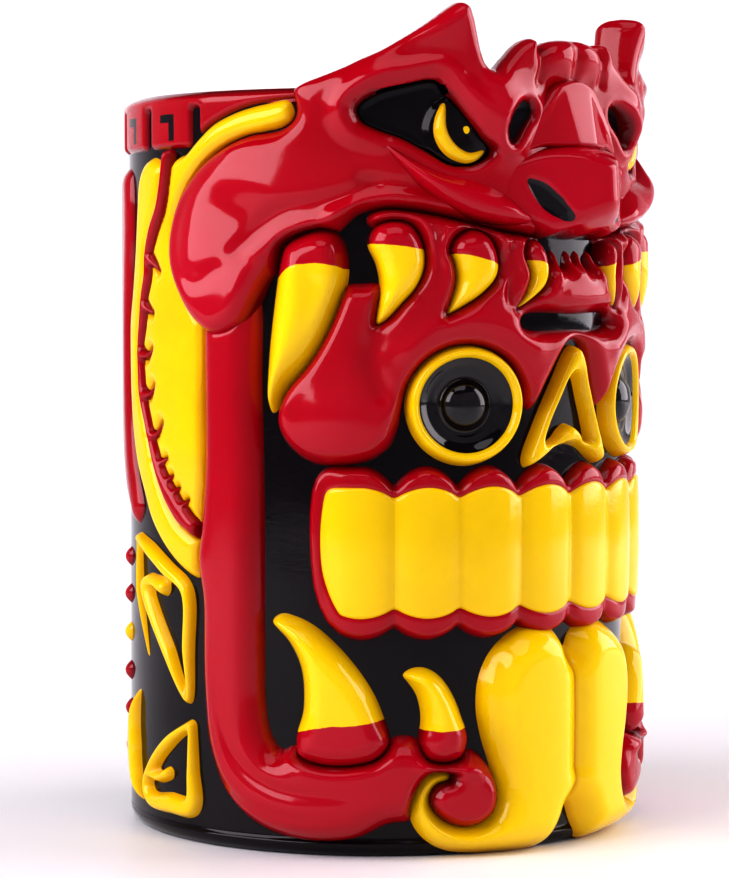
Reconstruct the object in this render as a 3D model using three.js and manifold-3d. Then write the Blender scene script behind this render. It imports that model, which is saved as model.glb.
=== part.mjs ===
// A tall ceramic tiki mug: a straight cup whose outside carries a horned beast's head with its jaws
// wide open, and a skull looking out between them.
// Millimetres, +Z up, the origin at the centre of the foot, the face towards -Y.
//
// The relief is laid out on the cup's wall. A place on the wall is [degrees, mm]: the angle round the
// cup from the middle of the face, positive towards -X, and the height above the foot.

import * as THREE from "three";
import { mergeVertices } from "three/addons/utils/BufferGeometryUtils.js";
import Module from "manifold-3d";

const wasm = await Module();
wasm.setup();

// ---------- Driving dimensions ----------

const CUP_RADIUS = 45; // outside of the plain wall
const RIM_HEIGHT = 130;
const WALL = 5;
const FLOOR = 7;
const FOOT_ROUND = 2.5; // rounding between the wall and the foot
const LIP_ROUND = 1.6; // rounding of the drinking edge
const CUP_SIDES = 48;

const SEAT_GAP = 0.3; // between the wall and what is applied to it
const NEIGHBOUR_GAP = 0.4; // between one applied piece and the next
const SEAT = CUP_RADIUS + SEAT_GAP;
const LONGEST_EDGE = 8; // measured round the cup: a longer edge would cut across the curve of the wall
const LONGEST_SIDE = 6; // a longer stretch of outline would leave its side twisted
const HAIR = 0.02;

// How far each layer of the relief stands out from the wall
const LOW = 1.3;
const MIDDLE = 2;
const HIGH = 2.7;
const TOOTH = 3.4;
const TONGUE = 4.2;
const PROW = 2.2; // extra bulge of the wall's relief at the middle of the face

// ---------- Glaze colours ----------

const RED = 0xa80a1c;
const YELLOW = 0xf5c400;
const BLACK = 0x0d0b0d;
const GLAZE = { roughness: 0.15, metalness: 0 };

// ---------- Tools ----------

const arc = (degrees) => THREE.MathUtils.degToRad(degrees) * CUP_RADIUS;

// The bulge of the face, in mm, at a place given as arc length and height.
function prow(s, z) {
  const across = Math.exp(-((s / 13) ** 2));
  const up = Math.exp(-(((z - 94) / 15) ** 2));
  return PROW * across * up;
}

function wrap(s, z, radius) {
  const angle = s / CUP_RADIUS;
  return [-radius * Math.sin(angle), -radius * Math.cos(angle), z];
}

// A closed smooth line through places on the wall, as points of arc length and height.
function smooth(places, perSpan = 1) {
  const through = places.map(([degrees, z]) => new THREE.Vector3(arc(degrees), z, 0));
  const curve = new THREE.CatmullRomCurve3(through, true, "centripetal");
  const points = curve.getPoints(places.length * perSpan).slice(0, -1);
  return facingOut(points.map((p) => new THREE.Vector2(p.x, p.y)));
}

// The same line counterclockwise, whichever way its places were listed.
function facingOut(points) {
  return THREE.ShapeUtils.isClockWise(points) ? points.reverse() : points;
}

const mirrored = (places) => places.map(([degrees, z]) => [-degrees, z]);

// A shape that is the same on both sides of the face, from its half: bottom middle to top middle.
const bothSides = (half) => [...half, ...mirrored(half.filter(([degrees]) => degrees !== 0)).reverse()];

function circle(centre, radius, count = 18) {
  return facingOut(
    Array.from({ length: count }, (_, i) => {
      const a = (2 * Math.PI * i) / count;
      return new THREE.Vector2(arc(centre[0]) + radius * Math.cos(a), centre[1] + radius * Math.sin(a));
    }),
  );
}

// The outline of a ribbon of the given width that follows a line of places, with round ends.
function ribbon(places, width, perSpan = 2) {
  const through = places.map(([degrees, z]) => new THREE.Vector3(arc(degrees), z, 0));
  const line = new THREE.CatmullRomCurve3(through, false, "centripetal");
  const count = (places.length - 1) * perSpan;
  const sides = [[], []];
  for (let i = 0; i <= count; i++) {
    const p = line.getPoint(i / count);
    const t = line.getTangent(i / count);
    const taper = i === 0 || i === count ? 0.45 : 1;
    const half = 0.5 * width * taper;
    sides[0].push(new THREE.Vector2(p.x - t.y * half, p.y + t.x * half));
    sides[1].push(new THREE.Vector2(p.x + t.y * half, p.y - t.x * half));
  }
  return facingOut([...sides[0], ...sides[1].reverse()]);
}

const unitNormals = (points) =>
  points.map((p, i) => {
    const before = points[(i + points.length - 1) % points.length];
    const after = points[(i + 1) % points.length];
    return new THREE.Vector2(before.y - after.y, after.x - before.x).normalize();
  });

// How far it is from point i straight inwards to the other side of the line.
function clearance(points, i, inward) {
  let nearest = Infinity;
  for (let j = 0; j < points.length; j++) {
    const k = (j + 1) % points.length;
    if (j === i || k === i) continue;
    const edge = points[k].clone().sub(points[j]);
    const across = inward.cross(edge);
    if (Math.abs(across) < 1e-9) continue;
    const toEdge = points[j].clone().sub(points[i]);
    const distance = toEdge.cross(edge) / across;
    const along = toEdge.cross(inward) / across;
    if (distance > 1e-6 && along >= 0 && along <= 1) nearest = Math.min(nearest, distance);
  }
  return nearest;
}

// The line moved inwards by distance, or by less where the shape is narrow.
// A negative distance moves it outwards.
function inset(points, distance) {
  const inward = unitNormals(points);
  return points.map((p, i) => {
    const room = distance > 0 ? Math.min(distance, 0.3 * clearance(points, i, inward[i])) : distance;
    return p.clone().addScaledVector(inward[i], room);
  });
}

// The closed line with no step longer than the wall's curve allows.
function dense(line) {
  return line.flatMap((p, i) => {
    const next = line[(i + 1) % line.length];
    const steps = Math.max(1, Math.ceil(Math.abs(p.x - next.x) / LONGEST_SIDE));
    return Array.from({ length: steps }, (_, k) => p.clone().lerp(next, k / steps));
  });
}

// Fills a line with triangles whose edges are short enough to follow the wall.
// The triangulation drops points that lie on a straight line, so it is given points moved a hair aside.
function fill(line, longest) {
  const points = line.map((p) => p.clone());
  const last = line.length - 1;
  const onLine = (a, b) => b <= last && (b - a === 1 || (a === 0 && b === last));
  const inward = unitNormals(line);
  const unaligned = line.map((p, i) => p.clone().addScaledVector(inward[i], HAIR * Math.sin(2.3 * i)));
  let triangles = THREE.ShapeUtils.triangulateShape(unaligned, []);
  for (;;) {
    const middles = new Map();
    for (const t of triangles)
      for (let e = 0; e < 3; e++) {
        const [a, b] = [t[e], t[(e + 1) % 3]].sort((x, y) => x - y);
        const key = a + "_" + b;
        if (middles.has(key) || onLine(a, b) || Math.abs(points[a].x - points[b].x) <= longest) continue;
        middles.set(key, points.length);
        points.push(points[a].clone().lerp(points[b], 0.5));
      }
    if (!middles.size) return { points, triangles };
    triangles = triangles.flatMap((t) => split(t, middles));
  }
}

// The triangles that take the place of one whose edges have the given middle points.
function split([a, b, c], middles) {
  const middle = (x, y) => middles.get(Math.min(x, y) + "_" + Math.max(x, y));
  const corners = [a, middle(a, b), b, middle(b, c), c, middle(c, a)].filter((v) => v !== undefined);
  if (corners.length === 3) return [corners];
  if (corners.length === 6) {
    const [p, q, r, s, t, u] = corners;
    return [[p, q, u], [q, r, s], [s, t, u], [q, s, u]];
  }
  while (corners[1] !== middle(corners[0], corners[2])) corners.push(corners.shift());
  const [p, q, ...rest] = corners;
  return rest.map((v, i) => [q, v, i + 1 < rest.length ? rest[i + 1] : p]);
}

// A manifold-3d solid from points and triangles, turned so that its faces point out.
function solidOf(vertices, triangles) {
  const merged = mergeVertices(
    new THREE.BufferGeometry()
      .setAttribute("position", new THREE.Float32BufferAttribute(vertices, 3))
      .setIndex(triangles),
    1e-4,
  );
  const vertProperties = merged.attributes.position.array;
  const triVerts = new Uint32Array(merged.index.array);
  const made = new wasm.Manifold(new wasm.Mesh({ numProp: 3, vertProperties, triVerts }));
  if (made.volume() > 0) return made;
  for (let i = 0; i < triVerts.length; i += 3)
    [triVerts[i], triVerts[i + 1]] = [triVerts[i + 1], triVerts[i]];
  return new wasm.Manifold(new wasm.Mesh({ numProp: 3, vertProperties, triVerts }));
}

function solidOfGeometry(geometry) {
  geometry.deleteAttribute("normal");
  geometry.deleteAttribute("uv");
  const merged = mergeVertices(geometry, 1e-4);
  return solidOf(merged.attributes.position.array, [...merged.index.array]);
}

// A raised patch on the wall: a closed line, from radius `from` out to radius `to`, with its outer edge
// chamfered. Its outer face follows the bulge of the face.
function patch(outline, to, { from = SEAT, chamfer = 0.8, longest = LONGEST_EDGE } = {}) {
  const line = dense(outline);
  const top = inset(line, chamfer);
  const front = fill(top, longest);
  const back = fill(line, longest);
  const vertices = [];
  const place = (p, radius) => vertices.push(...wrap(p.x, p.y, radius));
  const outer = (p, drop) => Math.max(from + 0.2, to - drop + prow(p.x, p.y));
  back.points.forEach((p) => place(p, from));
  line.forEach((p) => place(p, outer(p, chamfer)));
  front.points.forEach((p) => place(p, outer(p, 0)));

  const n = line.length;
  const shoulder = back.points.length;
  const edge = shoulder + n;
  const triangles = back.triangles.flatMap(([a, b, c]) => [a, c, b]);
  triangles.push(...front.triangles.flat().map((v) => v + edge));
  for (let i = 0; i < n; i++) {
    const j = (i + 1) % n;
    triangles.push(i, j, shoulder + j, i, shoulder + j, shoulder + i);
    triangles.push(shoulder + i, shoulder + j, edge + j, shoulder + i, edge + j, edge + i);
  }
  return solidOf(vertices, triangles);
}

// Everything over a closed line, from inside the wall to well outside the relief.
function pocket(line, grow = NEIGHBOUR_GAP) {
  const options = { from: CUP_RADIUS - 0.2, chamfer: 0.01, longest: 3 * LONGEST_EDGE };
  return patch(inset(line, -grow), SEAT + 8, options);
}

// A ring round the cup's axis, with the bulge of the face on its outside.
function ring(inner, outer, low, high) {
  const rows = Math.ceil((high - low) / 7);
  const face = Array.from({ length: rows + 1 }, (_, i) => [outer, low + ((high - low) * i) / rows]);
  const corners = [[inner, low], ...face, [inner, high], [inner, low]];
  const profile = corners.map(([r, z]) => new THREE.Vector2(r, z));
  const geometry = new THREE.LatheGeometry(profile, CUP_SIDES).rotateX(Math.PI / 2);
  const position = geometry.attributes.position;
  for (let i = 0; i < position.count; i++) {
    const [x, y, z] = [position.getX(i), position.getY(i), position.getZ(i)];
    const radius = Math.hypot(x, y);
    if (radius < outer - 0.01) continue;
    const bulged = 1 + prow(Math.atan2(-x, -y) * CUP_RADIUS, z) / radius;
    position.setXYZ(i, x * bulged, y * bulged, z);
  }
  return solidOfGeometry(geometry);
}

// A wide raised patch: the part of a ring that lies over a closed line.
function skin(line, height) {
  const heights = line.map((p) => p.y);
  const [low, high] = [Math.min(...heights) - 1, Math.max(...heights) + 1];
  return ring(SEAT, SEAT + height, low, high).intersect(pocket(line, 0));
}

const without = (solid, cutters) => cutters.reduce((rest, cutter) => rest.subtract(cutter), solid);

const group = new THREE.Group();

// Adds the largest body of a solid to the group as a named mesh with a glaze of its own.
function add(name, solid, color) {
  const largest = solid.decompose().sort((a, b) => b.volume() - a.volume())[0];
  const mesh = largest.getMesh();
  const geometry = new THREE.BufferGeometry()
    .setAttribute("position", new THREE.BufferAttribute(mesh.vertProperties, 3))
    .setIndex(new THREE.BufferAttribute(mesh.triVerts, 1));
  const made = new THREE.Mesh(geometry, new THREE.MeshStandardMaterial({ color, ...GLAZE }));
  made.name = name;
  group.add(made);
}

// Adds a piece on the left of the face (-X) and its mirror image on the right.
function addPair(name, make, places, color) {
  add("left_" + name, make(places, 1), color);
  add("right_" + name, make(mirrored(places), -1), color);
}

// ---------- Cup ----------

function cup() {
  const inside = CUP_RADIUS - WALL;
  const profile = [
    [0, 0],
    [CUP_RADIUS - FOOT_ROUND, 0],
    [CUP_RADIUS - 0.7, 0.8],
    [CUP_RADIUS, FOOT_ROUND],
    [CUP_RADIUS, RIM_HEIGHT - LIP_ROUND],
    [CUP_RADIUS - LIP_ROUND, RIM_HEIGHT],
    [inside + LIP_ROUND, RIM_HEIGHT],
    [inside, RIM_HEIGHT - LIP_ROUND],
    [inside, FLOOR + 4],
    [inside - 4, FLOOR],
    [0, FLOOR],
  ];
  const line = profile.map(([r, z]) => new THREE.Vector2(r, z));
  return solidOfGeometry(new THREE.LatheGeometry(line, CUP_SIDES).rotateX(Math.PI / 2));
}

// ---------- Beast's head ----------

// The left half of the head, from under the muzzle, round the corner of the mouth, and up to the rim.
const HEAD_HALF = [
  [0, 105.6], [9, 105.2], [18, 106], [27, 107.6], [36, 109.4], [46, 110], [55, 108.8], [62, 106.4],
  [68, 102.4], [72.5, 97], [77, 91.6], [82, 89.2], [86.5, 91], [91.5, 95.8], [95, 101], [96, 107.5],
  [93.5, 113], [88.5, 117.8], [81, 121.6], [72, 123.4], [63, 124], [61.8, 126], [64.2, 129.4],
  [50, 129.6], [30, 129.6], [10, 129.6],
];
const EYE_SOCKET = [
  [49.5, 126.8], [48, 124.2], [41, 122.2], [34.5, 118.6], [28, 116.4], [21.8, 118.6], [24.5, 123],
  [29, 127.6], [33.5, 130.8], [41, 129.6],
].map(([degrees, z]) => [degrees, Math.min(z, 129)]);
const EYE_CRESCENT = [
  [31.6, 127.2], [33.6, 124.6], [33.8, 121.4], [31, 118.6], [27, 117.4], [23.6, 118.2], [22.2, 120],
  [25.4, 119.6], [28.6, 120.4], [30.4, 122.6], [30.4, 125.2],
];
const CHEEK_FOLD = [
  [46, 121.6], [46.4, 120.2], [41, 117.8], [34, 114.2], [25, 110.6], [17, 108.4], [12.6, 108],
  [11.2, 109.6], [14, 111.4], [20, 113.6], [27, 115.2], [35, 117.4], [41, 120],
];
const BROW_HOLLOW = [[12.6, 128.4], [9.6, 127], [10.4, 124], [14.6, 119.4], [17, 121.6], [16, 125.4]];
const NOSE_BRIDGE = bothSides([[0, 121.4], [6.5, 121.4], [9, 122.4], [6.2, 126], [2.6, 129.4]]);
const MUZZLE = { centre: [0, -43, 113.6], size: [11.6, 14.2, 7.8] };

function muzzle(grow = 0) {
  const shape = new THREE.SphereGeometry(1, 20, 12);
  shape.scale(...MUZZLE.size.map((half) => half + grow)).translate(...MUZZLE.centre);
  return solidOfGeometry(shape);
}

const headPocket = () => pocket(smooth(bothSides(HEAD_HALF)));

function beastHead() {
  const openings = [EYE_SOCKET, CHEEK_FOLD, BROW_HOLLOW].flatMap((places) => [places, mirrored(places)]);
  const cutters = [...openings, NOSE_BRIDGE].map((places) => pocket(smooth(places)));
  return without(skin(smooth(bothSides(HEAD_HALF)), HIGH), [...cutters, muzzle(SEAT_GAP)]);
}

// The ears and the crest stand on the rim, as thick as the wall and a little more outside.
const EAR = [
  [63.6, 130.4], [57, 132.8], [50, 135.2], [42, 138.6], [35, 142.2], [30, 144.6], [27, 145.2],
  [25, 144], [23.6, 140], [22.2, 136], [21, 134.2], [21, 130.4], [35, 130.4], [50, 130.4],
];
const CREST = bothSides([
  [0, 130.4], [9, 130.4], [20.2, 130.4], [20.2, 134.2], [17, 135.3], [13, 137.6], [10, 139],
  [7.8, 138.2], [5, 136.6], [2, 135.8],
]);
const standing = (places) => patch(smooth(places), SEAT + MIDDLE, { from: CUP_RADIUS - WALL + 0.6 });

// ---------- Skull ----------

const BROW_HALF = [
  [0, 87.4], [3.2, 85.4], [7, 81.4], [10, 77.6], [11.4, 76.6], [12.8, 79], [15, 84], [19.6, 88],
  [26.3, 89.2], [33, 88], [37.6, 85.4], [40.2, 81.6], [41.6, 77], [43.6, 72.6], [46.4, 69],
  [51, 67.2], [57, 67.6], [62, 69.4], [65.2, 72.6], [66, 76.4], [63.6, 81], [60, 86.4], [56.4, 91.2],
  [53.4, 95.4], [51, 97.8], [48.6, 97.8], [47.4, 101], [46.4, 106], [41, 109], [33, 108.2],
  [24, 106.4], [15, 105], [9, 104.6],
];
const MOUTH_GAP = bothSides([[0, 97.4], [2.4, 98.6], [4, 97], [6, 99.4], [8, 102], [8.4, 104], [4, 104.2]]);
const BROW_SLOT = bothSides([[0, 89.4], [11, 89.4], [12.2, 90.6], [12.2, 91.6], [11, 92.6]]);
const EYE_CENTRE = [26.3, 76.7];
const EYE_RING_RADIUS = 10.5;
const EYE_HOLE_RADIUS = 7.2;
const eyeCentre = (side) => [side * EYE_CENTRE[0], EYE_CENTRE[1]];
const NOSE = bothSides([[0, 69], [5, 68.2], [11, 66.4], [11.9, 67.4], [8.6, 74], [4.6, 80.6], [1.2, 86]]);
const NOSE_HOLE = bothSides([[0, 72.2], [3, 70.6], [6.4, 69.8], [5.4, 72.4], [3, 76.6], [0.8, 80]]);

const UPPER_FANGS = [
  [
    [66, 103.4], [61.5, 106], [56.4, 106.4], [53.2, 104.2], [52, 99.6], [54, 94], [57.2, 88.4],
    [61.2, 82.6], [64.6, 78], [66.6, 75.6], [68.8, 75.8], [69.6, 79], [69.2, 85], [68.4, 91],
    [67.6, 98],
  ],
  [
    [47.2, 104.6], [45.2, 107.4], [41, 108.4], [37.2, 107.2], [35.4, 103.2], [35.6, 98.4],
    [38, 94.8], [42, 91.8], [45.6, 90.2], [45.2, 93.2], [44.2, 97], [45, 101],
  ],
  [
    [30.6, 103], [29, 105.6], [25.4, 106.6], [21.4, 105.2], [19.8, 101.4], [20.2, 98], [22.8, 95.4],
    [27, 93], [31.4, 91.6], [30, 95], [29, 98.6],
  ],
  [
    [14.2, 103], [13, 104.8], [10.8, 105], [8.8, 102.8], [8.2, 99.4], [9, 96.6], [11.6, 94.2],
    [15.6, 92.4], [13.8, 95.6], [12.6, 99],
  ],
];

function skullBrow() {
  const fangs = UPPER_FANGS.flatMap((fang) => [fang, mirrored(fang)]).map((fang) => pocket(smooth(fang)));
  const openings = [MOUTH_GAP, BROW_SLOT, NOSE].map((places) => pocket(smooth(places)));
  const rings = [1, -1].map((side) => pocket(circle(eyeCentre(side), EYE_RING_RADIUS)));
  const brow = skin(smooth(bothSides(BROW_HALF)), HIGH - 0.4);
  return without(brow, [...fangs, ...openings, ...rings, headPocket(), muzzle(SEAT_GAP)]);
}

function upperFang(places) {
  return without(patch(smooth(places), SEAT + TOOTH), [headPocket(), muzzle(SEAT_GAP)]);
}

function eyeRing(side) {
  const hole = pocket(circle(eyeCentre(side), EYE_HOLE_RADIUS), 0);
  return patch(circle(eyeCentre(side), EYE_RING_RADIUS), SEAT + MIDDLE).subtract(hole);
}

function eyeball(side) {
  return patch(circle(eyeCentre(side), EYE_HOLE_RADIUS - 2.4, 16), SEAT + LOW);
}

function noseFrame() {
  return patch(smooth(NOSE), SEAT + MIDDLE).subtract(pocket(smooth(NOSE_HOLE), 0));
}

// ---------- Skull's teeth ----------

const TEETH_PER_SIDE = 4;
const TOOTH_PITCH = 14;
const TEETH_TOP = 63.2;
const TEETH_BOTTOM = 41.2;
const GUM_EDGE = 3;

// The outline of the tooth at a place in the row, counted from the middle of the face.
function skullTooth(index) {
  const left = index * TOOTH_PITCH;
  const across = (share) => left + share * TOOTH_PITCH;
  const outline = [
    [across(0.02), TEETH_BOTTOM + 2.6], [across(0.2), TEETH_BOTTOM + 0.4], [across(0.5), TEETH_BOTTOM],
    [across(0.8), TEETH_BOTTOM + 0.4], [across(0.98), TEETH_BOTTOM + 2.6], [across(0.98), 52],
    [across(0.98), TEETH_TOP - 2.2], [across(0.8), TEETH_TOP - 0.4], [across(0.5), TEETH_TOP],
    [across(0.2), TEETH_TOP - 0.4], [across(0.02), TEETH_TOP - 2.2], [across(0.02), 52],
  ];
  return smooth(outline);
}

function gumLine() {
  const half = [];
  for (let i = 0; i < TEETH_PER_SIDE; i++)
    half.push([i * TOOTH_PITCH, TEETH_BOTTOM - 1.4], [(i + 0.5) * TOOTH_PITCH, TEETH_BOTTOM - GUM_EDGE]);
  half.push([56, 40], [59.2, 44.5], [59.8, 52], [59.2, 60.5], [56, 65]);
  for (let i = TEETH_PER_SIDE - 1; i >= 0; i--)
    half.push([(i + 0.5) * TOOTH_PITCH, TEETH_TOP + GUM_EDGE], [i * TOOTH_PITCH, TEETH_TOP + 1]);
  return bothSides(half.slice(1, -1));
}

// ---------- Lower jaw and tongue ----------

const JAW = [
  [70.6, 98], [70.6, 80], [70.6, 60], [70.6, 40], [70.4, 26], [69.2, 21.4], [66.4, 19.2], [62, 20.6],
  [56, 21], [48, 21.4], [42, 20.6], [35, 20.8], [28, 20.8], [24, 20], [20, 15], [16, 8], [16, 5.4],
  [24, 4.4], [34, 4.6], [44, 4.4], [54, 3], [64, 3], [72, 4.6], [78, 7.6], [82.6, 12], [85, 18],
  [85.8, 30], [86, 43], [87.6, 50], [85.6, 58], [85.4, 72], [85.2, 84], [85, 92],
];
const LOWER_FANGS = [
  [
    [69.2, 40.2], [66, 41.2], [62.4, 40.4], [57, 37], [51, 32], [46.6, 27], [44.2, 22.8],
    [43.6, 18.4], [48, 15.8], [56, 15.6], [62, 17.4], [62, 21.6], [61.6, 26], [62.6, 31], [65, 35.6],
  ],
  [
    [40.4, 31.6], [37.4, 32.4], [34.4, 32.2], [31, 30.4], [28, 27], [26.4, 23], [26.6, 19.4],
    [31, 18.4], [36, 19], [36.2, 21.6], [36, 25], [37.6, 28.6],
  ],
];
const TONGUE_HALF = [
  [1, 34.6], [4.6, 36.8], [9, 38.4], [14, 38.6], [19, 36.6], [22.4, 33], [23.6, 28.6], [23, 23],
  [21.4, 17.6], [19.8, 12.6], [20.2, 8.8], [23, 6], [27, 5], [31, 6.2], [33.4, 9], [33.2, 11.8],
  [31.4, 12.8], [29.2, 12.8], [29, 14.4], [31.4, 15.8], [35, 15.4], [37.8, 12.4], [38.8, 8],
  [37.4, 4.2], [33.6, 1.8], [27, 0.9], [19, 0.8], [12, 0.9], [7, 2.4], [3.4, 5], [1.2, 8.6],
  [0.7, 16], [0.7, 26],
];

function jaw(places, side) {
  const fangs = LOWER_FANGS.map((fang) => pocket(smooth(side > 0 ? fang : mirrored(fang))));
  const tongue = pocket(smooth(side > 0 ? TONGUE_HALF : mirrored(TONGUE_HALF)));
  return without(skin(smooth(places), HIGH - 0.2), [...fangs, tongue, headPocket()]);
}

// ---------- Frill behind the jaw ----------

const FRILL = [
  [64.4, 128.4], [62, 124.4], [72, 123.8], [81, 122], [88.9, 118.2], [94, 113.4], [96.5, 107.5],
  [95.4, 100.6], [91.8, 95.2], [86.2, 90.4], [85.8, 78], [85.8, 66], [86, 58], [88, 50],
  [86.4, 46.2], [93, 49], [100, 53.6], [106.4, 58.8], [111.8, 65.4], [115.6, 72.4], [117.6, 80],
  [117, 88.6], [115, 97], [113.4, 105], [111.4, 112], [108.6, 116.8], [104, 119], [99, 118.6],
  [94.6, 119], [90, 122], [85, 124.8], [77, 126.8],
];
const SPINE_LINE = [
  [98, 116.8], [99, 111], [102, 105.6], [106, 99.6], [108.4, 92.4], [110, 84.6], [108.6, 77],
  [106.4, 71], [103, 65], [98.4, 60], [93.2, 56.6], [89.4, 54.8],
];
const SPINE_HOOKS = [
  [[101, 107.4], [97.6, 108.6]],
  [[107, 98], [103.6, 98.4]],
  [[109, 90], [105.2, 89.6]],
  [[109.4, 82.4], [105.2, 81.4]],
  [[107.6, 74.6], [103.4, 73.6]],
  [[104.4, 67.4], [100.4, 67.4]],
];
const SPINE_WIDTH = 3.2;
const HOOK_WIDTH = 2.2;

function spineLines(side) {
  const turned = (places) => (side > 0 ? places : mirrored(places));
  const hooks = SPINE_HOOKS.map((hook) => ribbon(turned(hook), HOOK_WIDTH, 1));
  return [ribbon(turned(SPINE_LINE), SPINE_WIDTH), ...hooks];
}

function spine(side) {
  return spineLines(side)
    .map((line) => patch(line, SEAT + MIDDLE, { chamfer: 0.5 }))
    .reduce((joined, part) => joined.add(part));
}

function frill(places, side) {
  const jawLine = smooth(side > 0 ? JAW : mirrored(JAW));
  const cutters = [...spineLines(side), jawLine, smooth(bothSides(HEAD_HALF))];
  return without(skin(smooth(places), LOW), cutters.map((line) => pocket(line)));
}

// ---------- Frets, beads, rim and back ----------

const UPPER_FRET = [
  [100, 43.6], [107, 45.2], [99, 36.6], [90.4, 27.4], [89.8, 36], [89.8, 44.2], [97, 47.2],
  [105, 50], [113.6, 50.8], [112, 43], [108.8, 33],
];
const LOWER_FRET = [
  [100, 10.4], [104.5, 9.8], [108.4, 11.8], [98, 17.2], [89.6, 20], [89.2, 13], [89.6, 6.2],
  [98, 5.6], [107, 6], [116, 8.2], [114.6, 15], [111, 21],
];
const FRET_WIDTH = 2.5;

const RIM_BAND_LOW = 120.4;
const BLOCK_PITCH = 16;
const SLOT_LOW = 121.6;

const BAND_FRONT = bothSides([
  [0, 118], [98, 118], [94, 120.8], [90, 123.2], [84.6, 126], [76, 127.6], [66.4, 129.2], [60, 132],
  [0, 132],
]);
const SLOT_HALF_WIDTH = 0.9;
const SLOT_HIGH = 128;

// The red band below the rim, from behind one ear round the back to the other, with a row of slots.
function rimBand() {
  const front = facingOut(BAND_FRONT.map(([degrees, z]) => new THREE.Vector2(arc(degrees), z)));
  const slots = [];
  for (let degrees = 108; degrees < 256; degrees += BLOCK_PITCH) {
    const [left, right] = [degrees + SLOT_HALF_WIDTH, degrees - SLOT_HALF_WIDTH].map(arc);
    const corners = [[right, SLOT_LOW], [left, SLOT_LOW], [left, SLOT_HIGH], [right, SLOT_HIGH]];
    slots.push(pocket(facingOut(corners.map(([s, z]) => new THREE.Vector2(s, z))), 0));
  }
  return without(ring(SEAT, SEAT + LOW, RIM_BAND_LOW, RIM_HEIGHT - 0.6), [pocket(front, 0), ...slots]);
}

const BEADS = [[124, 14], [125.4, 20.6], [126, 27.4], [126, 34.4], [125.6, 41.4], [124.6, 48.2]];
const BEAD_RADIUS = 2.4;

// A string of beads on a thin cord of clay.
function beads(places) {
  const cord = patch(ribbon(places, 1.6, 1), SEAT + 0.8, { chamfer: 0.3 });
  const string = places.map((place) => patch(circle(place, BEAD_RADIUS, 7), SEAT + LOW + 0.3));
  return string.reduce((joined, bead) => joined.add(bead), cord);
}

const SIDE_PLUME = [
  [121, 117.6], [118.6, 108], [121.6, 96], [122.6, 82], [120, 68], [114.4, 58.6], [120, 58.4],
  [128, 66], [134, 80], [137, 96], [136, 110], [130, 117.8],
];
const BACK_PLUME = [
  [180, 36], [172, 41], [166, 50], [163, 62], [158, 76], [156, 92], [158, 108], [166, 117.8],
  [180, 118.6], [194, 117.8], [202, 108], [204, 92], [202, 76], [197, 62], [194, 50], [188, 41],
];

// ---------- Assembly ----------

add("cup", cup(), BLACK);

add("beast_head", beastHead(), RED);
addPair("ear", standing, EAR, RED);
add("forehead_crest", standing(CREST), RED);
add("nose_bridge", patch(smooth(NOSE_BRIDGE), SEAT + TONGUE).subtract(muzzle(SEAT_GAP)), RED);
add("muzzle", muzzle().intersect(ring(SEAT, CUP_RADIUS + 20, 90, RIM_HEIGHT)), RED);
addPair("eye_socket", (places, side) => {
  const crescent = pocket(smooth(side > 0 ? EYE_CRESCENT : mirrored(EYE_CRESCENT)));
  return patch(smooth(places), SEAT + 0.8, { chamfer: 0.2 }).subtract(crescent);
}, EYE_SOCKET, BLACK);
addPair("eye_crescent", (places) => patch(smooth(places), SEAT + MIDDLE), EYE_CRESCENT, YELLOW);
addPair("cheek_fold", (places) => {
  return patch(smooth(places), SEAT + TOOTH, { chamfer: 0.6 }).subtract(muzzle(SEAT_GAP));
}, CHEEK_FOLD, RED);
addPair("brow_hollow", (places) => patch(smooth(places), SEAT + 0.8, { chamfer: 0.2 }), BROW_HOLLOW, BLACK);
UPPER_FANGS.forEach((fang, i) => addPair("upper_fang_" + (i + 1), upperFang, fang, YELLOW));

add("skull_brow", skullBrow(), RED);
add("left_eye_ring", eyeRing(1), YELLOW);
add("right_eye_ring", eyeRing(-1), YELLOW);
add("left_eyeball", eyeball(1), BLACK);
add("right_eyeball", eyeball(-1), BLACK);
add("nose_frame", noseFrame(), YELLOW);

const toothLines = [];
for (let i = -TEETH_PER_SIDE; i < TEETH_PER_SIDE; i++) toothLines.push(skullTooth(i));
add("gum", without(skin(smooth(gumLine()), LOW), toothLines.map((line) => pocket(line))), RED);
toothLines.forEach((line, i) => add("skull_tooth_" + (i + 1), patch(line, SEAT + MIDDLE), YELLOW));

addPair("jaw", jaw, JAW, RED);
const lowerFang = (places) => patch(smooth(places), SEAT + HIGH + 0.2);
LOWER_FANGS.forEach((fang, i) => addPair("lower_fang_" + (i + 1), lowerFang, fang, YELLOW));
const tongue = (places) => patch(smooth(places), SEAT + TONGUE, { chamfer: 1.2 });
addPair("tongue", tongue, TONGUE_HALF, YELLOW);

addPair("frill", frill, FRILL, YELLOW);
addPair("frill_spine", (places, side) => spine(side), SPINE_LINE, RED);
addPair("upper_fret", (places) => patch(ribbon(places, FRET_WIDTH), SEAT + LOW), UPPER_FRET, YELLOW);
addPair("lower_fret", (places) => patch(ribbon(places, FRET_WIDTH), SEAT + LOW), LOWER_FRET, YELLOW);
addPair("beads", beads, BEADS, RED);
add("rim_band", rimBand(), RED);
addPair("side_plume", (places) => patch(smooth(places), SEAT + LOW), SIDE_PLUME, RED);
add("back_plume", skin(smooth(BACK_PLUME), MIDDLE), YELLOW);

export default group;
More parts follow.
